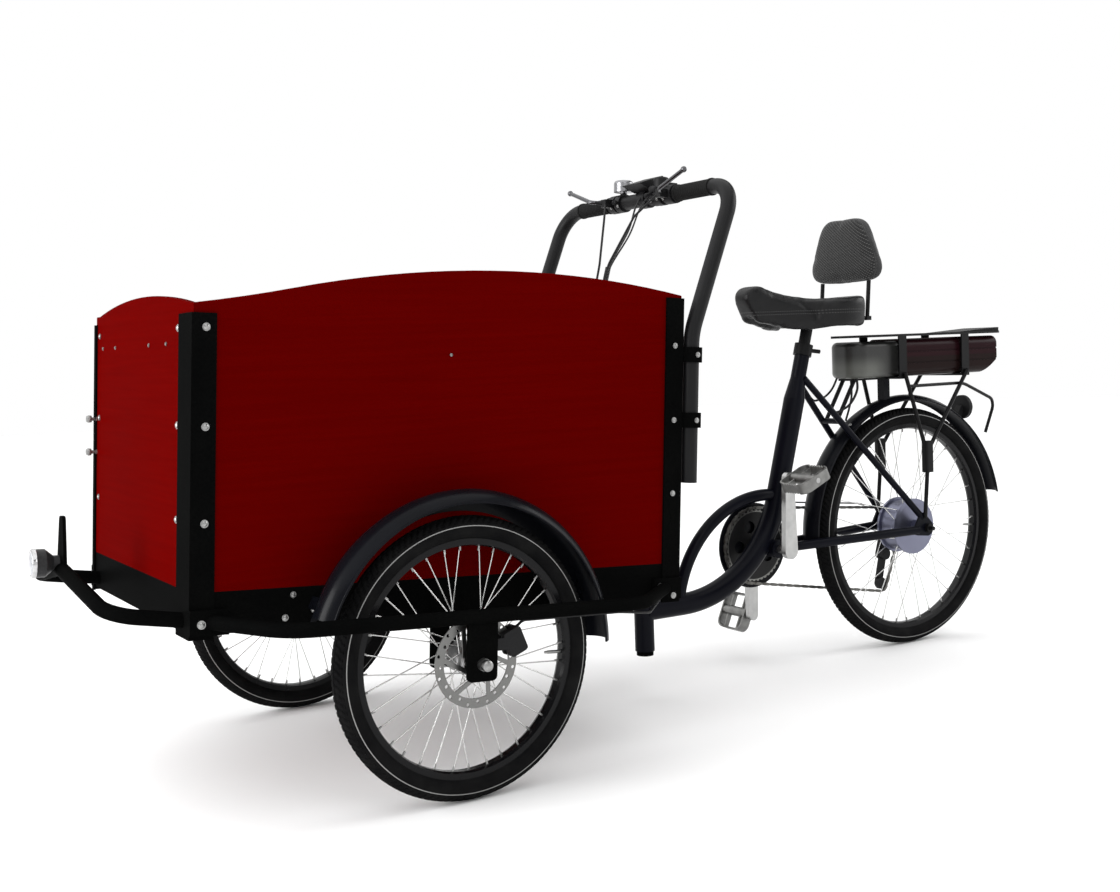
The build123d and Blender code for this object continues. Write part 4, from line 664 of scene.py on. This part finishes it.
# Headlamp
# A round lamp with a grey moulded shell, screwed to the bumper's bracket.
# A chromed rim holds the fluted clear lens over its reflector.
LAMP_FACE = (0.649, 0.0, 0.402)
LAMP_RIM_PROFILE = ((0.0253, -0.0060), (0.0262, -0.0050), (0.0262, -0.0015), (0.0245, 0.0010),
                    (0.0222, 0.0016), (0.0210, 0.0004))
LAMP_LENS_PROFILE = ((0.0209, 0.0003), (0.0200, 0.0014), (0.0165, 0.0030), (0.011, 0.0042),
                     (0.004, 0.0048), (0.0004, 0.0049))


def grey_shell(at):
    grit = cloud(at, 300.0, 3.0)
    return {
        "Base_Color": blended(grit, tone(0.012, 0.012, 0.013), tone(0.04, 0.04, 0.041)),
        "Roughness": 0.28 + 0.2 * grit,
    }


def chrome_plate(at):
    haze = cloud(at, 180.0, 3.0)
    return {
        "Base_Color": blended(haze, tone(0.38, 0.38, 0.39), tone(0.62, 0.62, 0.62)),
        "Roughness": 0.06 + 0.1 * haze,
    }


def fluted_lens(at):
    flutes = cloud(at, 160.0, 1.0, (1.0, 1.0, 0.1))
    return {
        "Base_Color": blended(flutes, tone(0.20, 0.21, 0.23), tone(0.60, 0.61, 0.63)),
        "Roughness": 0.08 + 0.1 * flutes,
        "Normal": bump(flutes, 0.0006, 0.4),
    }


dress(finish("grey_lamp_shell", grey_shell, Specular_IOR_Level=0.15), "headlamp")
chrome = finish("chrome_plate", chrome_plate, Metallic=1.0)
lens = finish("fluted_clear_lens", fluted_lens, Metallic=0.55, Coat_Weight=0.8, Coat_Roughness=0.03)
mesh = bmesh.new()
for tint, profile in enumerate((LAMP_RIM_PROFILE, LAMP_LENS_PROFILE)):
    lathe(mesh, facing(LAMP_FACE, (1, 0, 0)), profile, sides=40, tint=tint)
piece("headlamp_lens", mesh, [chrome, lens], "box_unit", LEVEL_BOX)

# Handlebar
# A wide inverted U of bent steel tube, clamped behind the rear posts.
# It is coated satin black, a little greyer than the base frame.


def bar_coat(at):
    patches = cloud(at, 11.0)
    grit = cloud(at, 900.0, 2.0)
    return {
        "Base_Color": blended(patches, tone(0.0035, 0.0035, 0.004), tone(0.011, 0.011, 0.0115)),
        "Roughness": 0.36 + 0.2 * patches,
        "Normal": bump(grit, 0.00015, 0.35),
    }


dress(finish("handlebar_satin_coat", bar_coat, Specular_IOR_Level=0.14), "handlebar")

# Grips
# Moulded black rubber sleeves with ribs, and a collar at each end.
# They are pushed over the bar, outside the levers.
BAR_X = -0.652
BAR_Z = 1.148
BORE_R = 0.0162
GRIP_R = 0.0174
VALLEY_R = GRIP_R - 0.0010
COLLAR_R = GRIP_R + 0.0014
END_R = GRIP_R + 0.0010
GRIP_IN = 0.126
GRIP_L = 0.118
RIBS = 17
RIBS_IN = 0.007
RIB_RISE = 0.0018
RIB_END = 0.0042
COLLAR_L = 0.004
END_L = 0.005
GRIP_EDGE = 0.0004


def by_bar(x, y, z):
    """Place in the level box, with x and z from the middle of the bar's section."""
    return BAR_X + x, y, BAR_Z + z


def ribbed_rubber(at):
    fine = cloud(at, 600.0, 3.0)
    return {
        "Base_Color": blended(fine, tone(0.004, 0.004, 0.004), tone(0.011, 0.011, 0.011)),
        "Roughness": 0.66 + 0.2 * fine,
        "Normal": bump(fine, 0.0003, 0.4),
    }


grip_rubber = finish("ribbed_grip_rubber", ribbed_rubber, Specular_IOR_Level=0.12)
profile = [(BORE_R, 0), (COLLAR_R, GRIP_EDGE), (COLLAR_R, COLLAR_L)]
for rib in range(RIBS):
    start = RIBS_IN + rib * (GRIP_L - 2 * RIBS_IN) / RIBS
    profile += [(VALLEY_R, start), (GRIP_R, start + RIB_RISE), (GRIP_R, start + RIB_END)]
profile += [(VALLEY_R, GRIP_L - END_L - 0.001), (END_R, GRIP_L - END_L), (END_R, GRIP_L - GRIP_EDGE),
            (BORE_R, GRIP_L)]
mesh = bmesh.new()
for side in (1, -1):
    lathe(mesh, facing(by_bar(0, side * GRIP_IN, 0), (0, side, 0)), profile, sides=28)
grips = piece("ribbed_grips", mesh, [grip_rubber], "box_unit", LEVEL_BOX, crease=30.0)
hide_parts("grips")

# Handlebar controls
# Brake levers in black clamps, a display in the middle and a chromed bell; the lever blades are bare alloy.
# They are told apart by where they stand along the bar.
LEVER_IN = 0.090
BLADE_IN = 0.120
BLADE_X = BAR_X + FRONT_AXLE.x - 0.040
BELL_OUT = -0.050
BELL_LOW = 1.130


def coordinate(at, axis):
    """One coordinate of the place on a piece."""
    return at.node("SeparateXYZ", (), axis, Vector=at)


def controls_finish(at):
    along = coordinate(at, "Y")
    reach = along.math("ABSOLUTE", along)
    blade = (reach > BLADE_IN) * (coordinate(at, "X") > BLADE_X)
    bell = (along < BELL_OUT) * (reach < LEVER_IN) * (coordinate(at, "Z") > BELL_LOW)
    bright = blade + bell
    grit = cloud(at, 500.0, 3.0)
    alloy = blended(bell, tone(0.10, 0.10, 0.105), tone(0.26, 0.26, 0.27))
    return {
        "Base_Color": blended(bright, tone(0.005, 0.005, 0.0055), alloy),
        "Metallic": bright,
        "Roughness": 0.42 + 0.15 * grit - 0.22 * bright,
    }


dress(finish("bar_controls", controls_finish, Specular_IOR_Level=0.2), "handlebar_controls")

# Shifter, throttle ring and lever fittings
# A round shifter pod with its thumb paddle, a throttle ring by the left grip, barrel adjusters at the levers.
# They are moulded black, clamped round the bar by small zinc screws.
BAR_RINGS = (
    # distance along the bar, width, radius
    (0.108, 0.012, 0.0205), (0.046, 0.016, 0.0195), (-0.118, 0.010, 0.0195),
)
RING_EDGE = 0.001
POD_PLACE = facing(by_bar(0.011, 0.064, 0.012), (0.42, 0.1, 0.9))
POD_PROFILE = ((0.015, 0), (0.0172, 0.002), (0.0172, 0.008), (0.0155, 0.0115), (0.010, 0.0135),
               (0.0095, 0.0125), (0.001, 0.0130))
PADDLE_PLACE = facing(by_bar(0.024, 0.066, 0.006), (0.8, 0.15, -0.35))
PADDLE_PROFILE = ((0.0042, 0), (0.0046, 0.004), (0.0038, 0.016), (0.0052, 0.020), (0.0048, 0.025),
                  (0.001, 0.026))
ADJUSTER_X = 0.022
ADJUSTER_Y = 0.086
ADJUSTER_Z = 0.001
ADJUSTER_LEAN = 0.35
ADJUSTER_PROFILE = ((0.0046, 0), (0.0046, 0.006), (0.0038, 0.0066), (0.0046, 0.0072), (0.0046, 0.012),
                    (0.0030, 0.0126), (0.0030, 0.020), (0.0020, 0.0204))
CONTROL_SCREWS = (
    # distance along the bar, height over its middle
    (0.098, -0.010), (0.076, -0.008), (0.053, -0.010), (-0.098, -0.010), (-0.072, -0.008),
)
SCREW_X = 0.0195
SCREW_R = 0.0027
SCREW_FACING = (1, 0, -0.25)
mesh = bmesh.new()
for along, wide, radius in BAR_RINGS:
    ring = [(BORE_R, 0), (radius - RING_EDGE, 0), (radius, RING_EDGE), (radius, wide - RING_EDGE),
            (radius - RING_EDGE, wide), (BORE_R, wide)]
    lathe(mesh, facing(by_bar(0, along, 0), (0, 1, 0)), ring, sides=28)
lathe(mesh, POD_PLACE, POD_PROFILE, sides=28)
lathe(mesh, PADDLE_PLACE, PADDLE_PROFILE, sides=14)
for side in (1, -1):
    place = facing(by_bar(ADJUSTER_X, side * ADJUSTER_Y, ADJUSTER_Z), (ADJUSTER_LEAN, -side, 0))
    lathe(mesh, place, ADJUSTER_PROFILE, sides=14)
piece("shifter_and_throttle", mesh, [anodised], "box_unit", LEVEL_BOX)
mesh = bmesh.new()
for along, height in CONTROL_SCREWS:
    dome_bolt(mesh, facing(by_bar(SCREW_X, along, height), SCREW_FACING), SCREW_R)
piece("control_screws", mesh, [zinc], "box_unit", LEVEL_BOX)

# Display glass
# A dark glossy window in the face that leans back to the rider.
# It is glued into a thin raised frame of black plastic.
SCREEN_PLACE = facing(by_bar(-0.0222, 0.014, 0.0405), (-0.914, 0.0, 0.406))
SCREEN_LAYERS = (
    # half length, half width, corner radius, lower and upper face: the frame, then the glass
    (0.0295, 0.0066, 0.003, -0.0004, 0.0010),
    (0.0275, 0.0050, 0.002, 0.0010, 0.0014),
)
CORNER_STEPS = 4


def dark_glass(at):
    haze = cloud(at, 90.0, 2.0)
    return {
        "Base_Color": blended(haze, tone(0.012, 0.018, 0.016), tone(0.03, 0.042, 0.036)),
        "Roughness": 0.06 + 0.06 * haze,
    }


def rounded_plate(mesh, half_x, half_y, corner, low, high, tint):
    """Flat plate with rounded corners between two heights."""
    outline = []
    for quarter, (right, up) in enumerate(((1, 1), (-1, 1), (-1, -1), (1, -1))):
        for step in range(CORNER_STEPS + 1):
            turn = pi / 2 * (quarter + step / CORNER_STEPS)
            outline.append((right * (half_x - corner) + corner * cos(turn),
                            up * (half_y - corner) + corner * sin(turn)))
    skin(mesh, [[mesh.verts.new((x, y, z)) for x, y in outline] for z in (low, high)], tint)


glass = finish("dark_display_glass", dark_glass, Coat_Weight=1.0)
mesh = bmesh.new()
for tint, layer in enumerate(SCREEN_LAYERS):
    rounded_plate(mesh, *layer, tint)
piece("display_window", mesh, [satin_paint, glass], "box_unit", LEVEL_BOX @ SCREEN_PLACE)

# Brake and control cables
# Cables from the levers down behind the box to the calipers, clipped along their way.
# Each is a steel winding in a black plastic sheath.


def sheath(at):
    fine = cloud(at, 400.0, 2.0)
    return {
        "Base_Color": blended(fine, tone(0.004, 0.004, 0.004), tone(0.011, 0.011, 0.012)),
        "Roughness": 0.42 + 0.2 * fine,
    }


cable_black = finish("black_cable_sheath", sheath, Specular_IOR_Level=0.2)
dress(cable_black, "control_cables")

# Leads and their wrap
# The display and shifter leads join the brake cables in a wound sleeve that goes down behind the box.
# At the rear, plastic-sheathed leads hang from the controller to the stays and to the mudguard.
FRONT_LEADS = (
    # radius, points in the level box: display lead, shifter lead, sleeve
    (0.0021, (by_bar(0.006, 0.016, 0.018), by_bar(0.030, 0.014, -0.018), by_bar(0.045, 0.006, -0.075),
              (-0.562, 0.004, 0.998), (-0.546, 0.0, 0.945))),
    (0.0019, (by_bar(0.024, 0.058, 0.004), by_bar(0.046, 0.050, -0.030), by_bar(0.058, 0.030, -0.085),
              (-0.562, 0.008, 0.996), (-0.546, 0.0, 0.945))),
    (0.0062, ((-0.560, 0.0, 0.992), (-0.553, 0.0, 0.962), (-0.545, 0.0, 0.920), (-0.5385, 0.0, 0.870),
              (-0.5385, 0.0, 0.800))),
)
REAR_LEADS = (
    # radius, points
    (0.0030, ((-0.716, 0.030, 0.688), (-0.714, 0.034, 0.655), (-0.692, 0.032, 0.622),
              (-0.660, 0.030, 0.606), (-0.640, 0.028, 0.603))),
    (0.0026, ((-0.742, -0.016, 0.688), (-0.744, -0.016, 0.640), (-0.730, -0.012, 0.606),
              (-0.716, -0.010, 0.578))),
    (0.0026, ((-0.704, -0.020, 0.692), (-0.690, -0.026, 0.660), (-0.664, -0.026, 0.640),
              (-0.628, -0.022, 0.632), (-0.610, -0.018, 0.640))),
)
WINDING = 900.0


def cord(mesh, radius, points, sides=10, steps=8):
    """Round cord on a smooth curve through points."""
    spots = [Vector(p) for p in (points[0], *points, points[-1])]
    path = []
    for a, b, c, d in zip(spots, spots[1:], spots[2:], spots[3:]):
        square = 2 * a - 5 * b + 4 * c - d
        cube = 3 * b - a - 3 * c + d
        for t in (step / steps for step in range(steps)):
            path.append((2 * b + (c - a) * t + square * t ** 2 + cube * t ** 3) / 2)
    path.append(spots[-1])
    headings = [(ahead - behind).normalized()
                for ahead, behind in zip(path[1:] + path[-1:], path[:1] + path[:-1])]
    circle = [(radius * cos(2 * pi * s / sides), radius * sin(2 * pi * s / sides), 0) for s in range(sides)]
    turn = headings[0].to_track_quat("Z", "Y")
    rings = []
    for spot, before, heading in zip(path, headings[:1] + headings[:-1], headings):
        turn = before.rotation_difference(heading) @ turn
        rings.append([mesh.verts.new(spot + turn @ Vector(corner)) for corner in circle])
    skin(mesh, rings)


def wound_sleeve(at):
    """Sheath with the ridges of a wound wrap."""
    height = coordinate(at, "Z")
    turns = height.math("SINE", height * WINDING) * 0.5 + 0.5
    return {
        "Base_Color": blended(turns, tone(0.003, 0.003, 0.003), tone(0.022, 0.022, 0.023)),
        "Roughness": 0.35 + 0.2 * turns,
        "Normal": bump(turns, 0.0010, 0.6),
    }


sleeve = finish("wound_lead_sleeve", wound_sleeve, Specular_IOR_Level=0.3)
mesh = bmesh.new()
for radius, points in FRONT_LEADS:
    cord(mesh, radius, points)
piece("front_leads", mesh, [sleeve], "box_unit", LEVEL_BOX)
mesh = bmesh.new()
for radius, points in REAR_LEADS:
    cord(mesh, radius, points)
piece("rear_leads", mesh, [cable_black], "frame")

# Cranks and pedals
# Forged alloy cranks pressed on the spindle's ends, polished but dulled by use.
# Open cage pedals of a greyer alloy are screwed into them.


def polished_alloy(at):
    dull = cloud(at, 45.0, 5.0)
    return {
        "Base_Color": blended(dull, tone(0.28, 0.28, 0.28), tone(0.54, 0.54, 0.53)),
        "Roughness": 0.22 + 0.22 * dull,
        "Normal": bump(cloud(at, 800.0, 2.0), 0.0001, 0.2),
    }


def cage_alloy(at):
    dull = cloud(at, 60.0, 5.0)
    return {
        "Base_Color": blended(dull, tone(0.09, 0.09, 0.088), tone(0.30, 0.30, 0.29)),
        "Roughness": 0.30 + 0.25 * dull,
    }


dress(finish("polished_crank_alloy", polished_alloy, Metallic=1.0), "cranks")
dress(finish("grey_cage_alloy", cage_alloy, Metallic=0.8), "pedal_left", "pedal_right")

# Chain, sprockets and chainring
# Oiled steel links and sprockets, dark with grime and bright where they rub.
# The chainring is bolted to its crank and has a black face with the teeth rubbed bright.
RING_TEETH_R = 0.0815
disc_low, disc_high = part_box("guard_disc")
CRANK_MIDDLE = (disc_low + disc_high) / 2


def oiled_steel(at):
    grime = cloud(at, 130.0, 5.0)
    return {
        "Base_Color": blended(grime, tone(0.02, 0.019, 0.017), tone(0.24, 0.235, 0.22)),
        "Roughness": 0.26 + 0.3 * grime,
        "Normal": bump(grime, 0.0002, 0.2),
    }


def ring_black(at):
    """Black face with the teeth rubbed bright."""
    teeth = distance_from_axle(at, CRANK_MIDDLE) > RING_TEETH_R
    grit = cloud(at, 300.0, 3.0)
    face = blended(grit, tone(0.003, 0.003, 0.0035), tone(0.010, 0.010, 0.0105))
    return {
        "Base_Color": blended(teeth, face, tone(0.20, 0.20, 0.19)),
        "Metallic": teeth,
        "Roughness": 0.34 + 0.2 * grit,
    }


dress(finish("oiled_chain_steel", oiled_steel, Metallic=0.9), "chain", "cassette")
dress(finish("black_chainring", ring_black, Specular_IOR_Level=0.2), "chainring")

# Saddle
# A wide moulded foam saddle under smooth black synthetic leather, with a raised nose and deep flanks.
# The cover is stretched over the foam, and a stitched seam runs round the lower edge.
SADDLE_TUCK = 0.10
HOLLOW_DEPTH = 0.006
HOLLOW_AT = 0.42
HOLLOW_REACH = 0.3
SEAM_Z = 0.846
SEAM_WAVE = 0.002
SEAM_HALF = 0.0014
STITCH_BAND = (0.0026, 0.0042)
STITCH_LINES = 1150.0
STITCH_GAP = -0.1
CLOTH_STEPS = 20


def keep_result(made):
    """Turns a piece's modifiers into its mesh."""
    shown = made.evaluated_get(bpy.context.evaluated_depsgraph_get())
    result = bpy.data.meshes.new_from_object(shown)
    made.modifiers.clear()
    made.data = result


def stuffed(name, node, voxel, rounds, form, pressure, cap):
    """Soft copy of a solid: remeshed, rounded, shaped by form() and blown up by cloth pressure to a cap."""
    made = added(name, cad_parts[node].data.copy())
    bpy.context.view_layer.objects.active = made
    made.data.materials.clear()
    close = made.modifiers.new("close", "REMESH")
    close.mode = "VOXEL"
    close.voxel_size = voxel
    even = made.modifiers.new("even", "SMOOTH")
    even.factor, even.iterations = 0.5, rounds
    keep_result(made)
    low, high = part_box(node)
    for vertex in made.data.vertices:
        share = [(vertex.co[k] - low[k]) / (high[k] - low[k]) for k in range(3)]
        vertex.co += form(vertex.co, *share)
    start = [v.co.copy() for v in made.data.vertices]
    cloth = made.modifiers.new("cover", "CLOTH")
    cloth.settings.use_pressure = True
    cloth.settings.uniform_pressure_force = pressure
    cloth.settings.effector_weights.gravity = 0.0
    cloth.settings.quality = 5
    for step in range(1, CLOTH_STEPS + 1):
        bpy.context.scene.frame_set(step)
    keep_result(made)
    bpy.context.scene.frame_set(1)
    for vertex, home in zip(made.data.vertices, start):
        move = vertex.co - home
        if move.length > cap:
            vertex.co = home + move.normalized() * cap
    settle = made.modifiers.new("settle", "SMOOTH")
    settle.factor, settle.iterations = 0.5, 4
    fine = made.modifiers.new("fine", "SUBSURF")
    fine.levels = fine.render_levels = 1
    keep_result(made)
    made.data.polygons.foreach_set("use_smooth", [True] * len(made.data.polygons))
    return made


def smooth_leather(at):
    cells = at.node("TexVoronoi", {"feature": "DISTANCE_TO_EDGE"}, Vector=at, Scale=520.0)
    patches = cloud(at, 18.0)
    folds = cloud(at, 26.0, 2.0, (0.6, 0.6, 1.6))
    along = coordinate(at, "X")
    from_seam = along.math("ABSOLUTE", coordinate(at, "Z") - SEAM_Z - SEAM_WAVE * cloud(at, 12.0))
    seam = from_seam < SEAM_HALF
    thread = along.math("SINE", along * STITCH_LINES) > STITCH_GAP
    stitches = (from_seam < STITCH_BAND[1]) * (from_seam > STITCH_BAND[0]) * thread
    hide = blended(patches, tone(0.003, 0.003, 0.0033), tone(0.008, 0.008, 0.0085))
    return {
        "Base_Color": blended(stitches, hide, tone(0.05, 0.05, 0.05)),
        "Roughness": 0.30 + 0.2 * patches + 0.2 * stitches,
        "Normal": bump(cells * 0.2 + stitches * 1.2 - seam * 3.0 + folds * 6.0, 0.0006, 0.5),
    }


def saddle_form(at, along, across, up):
    """Draws the flanks in low down and hollows the top a little ahead of the tail."""
    tuck = -SADDLE_TUCK * at.y * max(0.0, 0.5 - up)
    hollow = -HOLLOW_DEPTH * max(0.0, up - 0.5) * max(0.0, 1 - abs(along - HOLLOW_AT) / HOLLOW_REACH)
    return Vector((0.0, tuck, hollow))


leather = finish("smooth_black_leather", smooth_leather, Specular_IOR_Level=0.2)
saddle = stuffed("stuffed_saddle", "saddle", voxel=0.005, rounds=14, form=saddle_form, pressure=3.0, cap=0.0045)
saddle.data.materials.append(leather)
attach(saddle, "frame")
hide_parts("saddle")

# Backrest
# A small foam pad covered in a dark woven mesh with rows of light dots, on two thin rods.
# A piped seam joins the front to the sides.
PAD_NARROW = 0.29
PAD_SWELL = 0.008
PAD_STRETCH = 0.006
PAD_SEAM_X = -0.7135
PAD_SEAM_HALF = 0.0022
WEAVE_ROWS = 640.0
WEAVE_DOTS = 980.0
WEAVE_SLOPE = 1.35


def dotted_weave(at):
    depth = coordinate(at, "X")
    across = coordinate(at, "Y")
    height = coordinate(at, "Z")
    rows = across.math("SINE", (across + height * WEAVE_SLOPE) * WEAVE_ROWS)
    dots = across.math("SINE", (across - height) * WEAVE_DOTS)
    front = depth > PAD_SEAM_X
    seam = depth.math("ABSOLUTE", depth - PAD_SEAM_X) < PAD_SEAM_HALF
    threads = (rows * 0.5 + 0.5) * (dots * 0.35 + 0.65) * front
    fine = cloud(at, 700.0, 3.0)
    cloth = blended(threads * threads, tone(0.005, 0.005, 0.0055), tone(0.085, 0.085, 0.082))
    piping = blended(fine, tone(0.003, 0.003, 0.003), tone(0.02, 0.02, 0.02))
    return {
        "Base_Color": blended(seam, cloth, piping),
        "Roughness": 0.70 + 0.2 * threads,
        "Normal": bump(threads + 0.5 * fine + 2.0 * seam, 0.0009, 0.6),
    }


def pad_form(at, along, across, up):
    """Narrows the pad to its top and swells the front."""
    narrow = -PAD_NARROW * at.y * up * up
    swell = max(0.0, 1 - (2 * across - 1) ** 2) * max(0.0, 1 - (2 * up - 1) ** 2)
    return Vector((PAD_SWELL * swell * along, narrow, PAD_STRETCH * (up - 0.5)))


weave = finish("dotted_mesh_weave", dotted_weave, Specular_IOR_Level=0.25, Sheen_Weight=0.15)
pad = stuffed("stuffed_backrest", "backrest", voxel=0.0045, rounds=48, form=pad_form, pressure=4.0, cap=0.0030)
pad.data.materials.append(weave)
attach(pad, "frame")
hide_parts("backrest")

# Rack and its legs
# A flat slotted deck with hangers round the battery, on round legs with thick sleeves, and the guard hoop.
# All are welded steel in the same satin black as the seat post.
dress(satin_paint, "rack_deck", "rack_legs", "guard_hoop")

# Battery
# A long extruded case slid in under the deck and held by its hangers.
# It is dark maroon with a soft gloss, browner in its lower half.
BATTERY_MID_Z = 0.730


def maroon_case(at):
    lower = coordinate(at, "Z") < BATTERY_MID_Z
    streaks = cloud(at, 30.0, 4.0, (0.1, 1.0, 6.0))
    body = blended(streaks, tone(0.0085, 0.0022, 0.0040), tone(0.019, 0.0042, 0.0056))
    return {
        "Base_Color": blended(lower * 0.7, body, tone(0.0075, 0.0045, 0.0035)),
        "Roughness": 0.24 + 0.14 * streaks,
    }


dress(finish("maroon_battery_case", maroon_case, Specular_IOR_Level=0.06), "battery")

# Controller housing
# A moulded grey-black box ahead of the battery that carries the motor's electronics.
# It is screwed to the rack, and a paler grey patch on its lower front is a painted highlight.
# Heights and lengths over which the painted highlight on the lower front fades in.
HIGHLIGHT_Z = (0.742, 0.704)
HIGHLIGHT_X = (-0.815, -0.745)


def eased(value, start, end, first=0.0, last=1.0):
    """Smooth change from first to last while a value goes from start to end."""
    return value.node("MapRange", {"interpolation_type": "SMOOTHSTEP"}, Value=value,
                      From_Min=start, From_Max=end, To_Min=first, To_Max=last)


def controller_shell(at):
    grit = cloud(at, 240.0, 3.0)
    low = eased(coordinate(at, "Z"), *HIGHLIGHT_Z)
    ahead = eased(coordinate(at, "X"), *HIGHLIGHT_X)
    # Paler grey patch on the lower front: a painted highlight of the glossy shell.
    painted_highlight = low * ahead * (0.55 + 0.6 * cloud(at, 14.0, 3.0))
    shell = blended(grit, tone(0.006, 0.0062, 0.0058), tone(0.016, 0.016, 0.015))
    return {
        "Base_Color": blended(painted_highlight, shell, tone(0.085, 0.088, 0.078)),
        "Roughness": 0.26 + 0.2 * grit,
        "Normal": bump(grit, 0.0002, 0.3),
    }


dress(finish("grey_black_housing", controller_shell, Specular_IOR_Level=0.4), "controller")

# Tail lamp
# A round lamp with a black cast shell, bolted on the rear mudguard.
# A moulded red lens closes its rear.
TAIL_LENS_DROP = 0.031
TAIL_LENS_PROFILE = ((0.0245, -0.001), (0.024, 0.001), (0.019, 0.0026), (0.010, 0.0036), (0.0005, 0.004))
tail_low, tail_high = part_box("tail_lamp")


def red_lens(at):
    flutes = cloud(at, 200.0, 1.0)
    return {
        "Base_Color": blended(flutes, tone(0.16, 0.002, 0.002), tone(0.34, 0.006, 0.004)),
        "Roughness": 0.1 + 0.1 * flutes,
        "Normal": bump(flutes, 0.0006, 0.4),
    }


dress(anodised, "tail_lamp")
tail_red = finish("red_tail_lens", red_lens, Coat_Weight=0.8, Coat_Roughness=0.04)
mesh = bmesh.new()
lathe(mesh, facing((tail_low.x, 0, tail_high.z - TAIL_LENS_DROP), (-1, 0, 0)), TAIL_LENS_PROFILE, sides=36)
piece("tail_lamp_lens", mesh, [tail_red], "frame")

# Floor
# A plain pale studio floor under the wheels, wide enough to meet the white band of the sky.
# It is a stage and no part of the tricycle.
FLOOR_R = 14.0
FLOOR_DROP = 0.0005


def pale_floor(at):
    patches = cloud(at, 0.6, 3.0)
    return {
        "Base_Color": blended(patches, tone(0.87, 0.87, 0.87), tone(0.90, 0.90, 0.90)),
        "Roughness": 0.7 + 0.1 * patches,
    }


mesh = bmesh.new()
bmesh.ops.create_circle(mesh, cap_ends=True, segments=96, radius=FLOOR_R)
data = bpy.data.meshes.new("floor")
mesh.to_mesh(data)
mesh.free()
data.materials.append(finish("pale_studio_floor", pale_floor, Specular_IOR_Level=0.1))
floor = added("floor", data, Matrix.Translation((0, 0, cad_box[0][2] - FLOOR_DROP)))

# Lights and sky
# Three soft panels and one broad overhead light.
# The sky is white at the horizon all round and dim overhead, so that upper faces keep their deep tones.
LIGHTS = (
    # name, place, size, watts
    ("front_panel_light", (5.0, -0.4, 1.8), 2.6, 190.0),
    ("side_light", (1.2, 4.6, 3.4), 2.4, 30.0),
    ("rear_light", (-4.6, 1.6, 2.8), 2.6, 90.0),
)
LIT_SPOT = Vector((0, 0, 0.5))
OVERHEAD_STRENGTH = 3.3
OVERHEAD_SPREAD = radians(110)
OVERHEAD_PLACE = (0, 0, 6)
OVERHEAD_FROM = (0.25, -0.15, 1.0)
HORIZON = (0.30, 0.52)
SKY_STRENGTH = (1.0, 0.10)
for name, place, size, watts in LIGHTS:
    panel = bpy.data.lights.new(name, "AREA")
    panel.size = size
    panel.energy = watts
    added(name, panel, facing(place, Vector(place) - LIT_SPOT))
overhead = bpy.data.lights.new("overhead_light", "SUN")
overhead.energy = OVERHEAD_STRENGTH
overhead.angle = OVERHEAD_SPREAD
added("overhead_light", overhead, facing(OVERHEAD_PLACE, OVERHEAD_FROM))
world = bpy.data.worlds.new("studio")
world.use_nodes = True
sky = world.node_tree.nodes["Background"]
heading = Wire(world.node_tree.nodes.new("ShaderNodeTexCoord").outputs["Generated"])
Wire.plug(sky, "Strength", eased(coordinate(heading, "Z"), *HORIZON, *SKY_STRENGTH))
Wire.plug(sky, "Color", tone(1.0, 1.0, 1.0))
bpy.context.scene.world = world
bpy.context.scene.view_settings.view_transform = "Standard"

# Camera
# It stands at the photograph's place, to the left and ahead of the box.
# Its turn, lens and shift come from a camera fitted to the photograph.
CAMERA_PLACE = Vector((FRONT_AXLE.x + 1.1072, 2.4821, 0.7831))
CAMERA_YAW = radians(-30.898)
CAMERA_PITCH = radians(3.067)
CAMERA_ROLL = radians(-2.106)
CAMERA_FOCAL = 43.85
CAMERA_SHIFT = (0.0308, -0.0207)
ahead = Vector((sin(CAMERA_YAW) * cos(CAMERA_PITCH), -cos(CAMERA_YAW) * cos(CAMERA_PITCH), -sin(CAMERA_PITCH)))
level = ahead.cross(Vector((0, 0, 1))).normalized()
upward = level.cross(ahead)
rightward = level * cos(CAMERA_ROLL) + upward * sin(CAMERA_ROLL)
top = upward * cos(CAMERA_ROLL) - level * sin(CAMERA_ROLL)
turned = Matrix((rightward, top, -ahead)).transposed().to_4x4()
camera = added("camera", bpy.data.cameras.new("camera"), Matrix.Translation(CAMERA_PLACE) @ turned)
camera.data.lens = CAMERA_FOCAL
camera.data.shift_x, camera.data.shift_y = CAMERA_SHIFT
bpy.context.scene.camera = camera
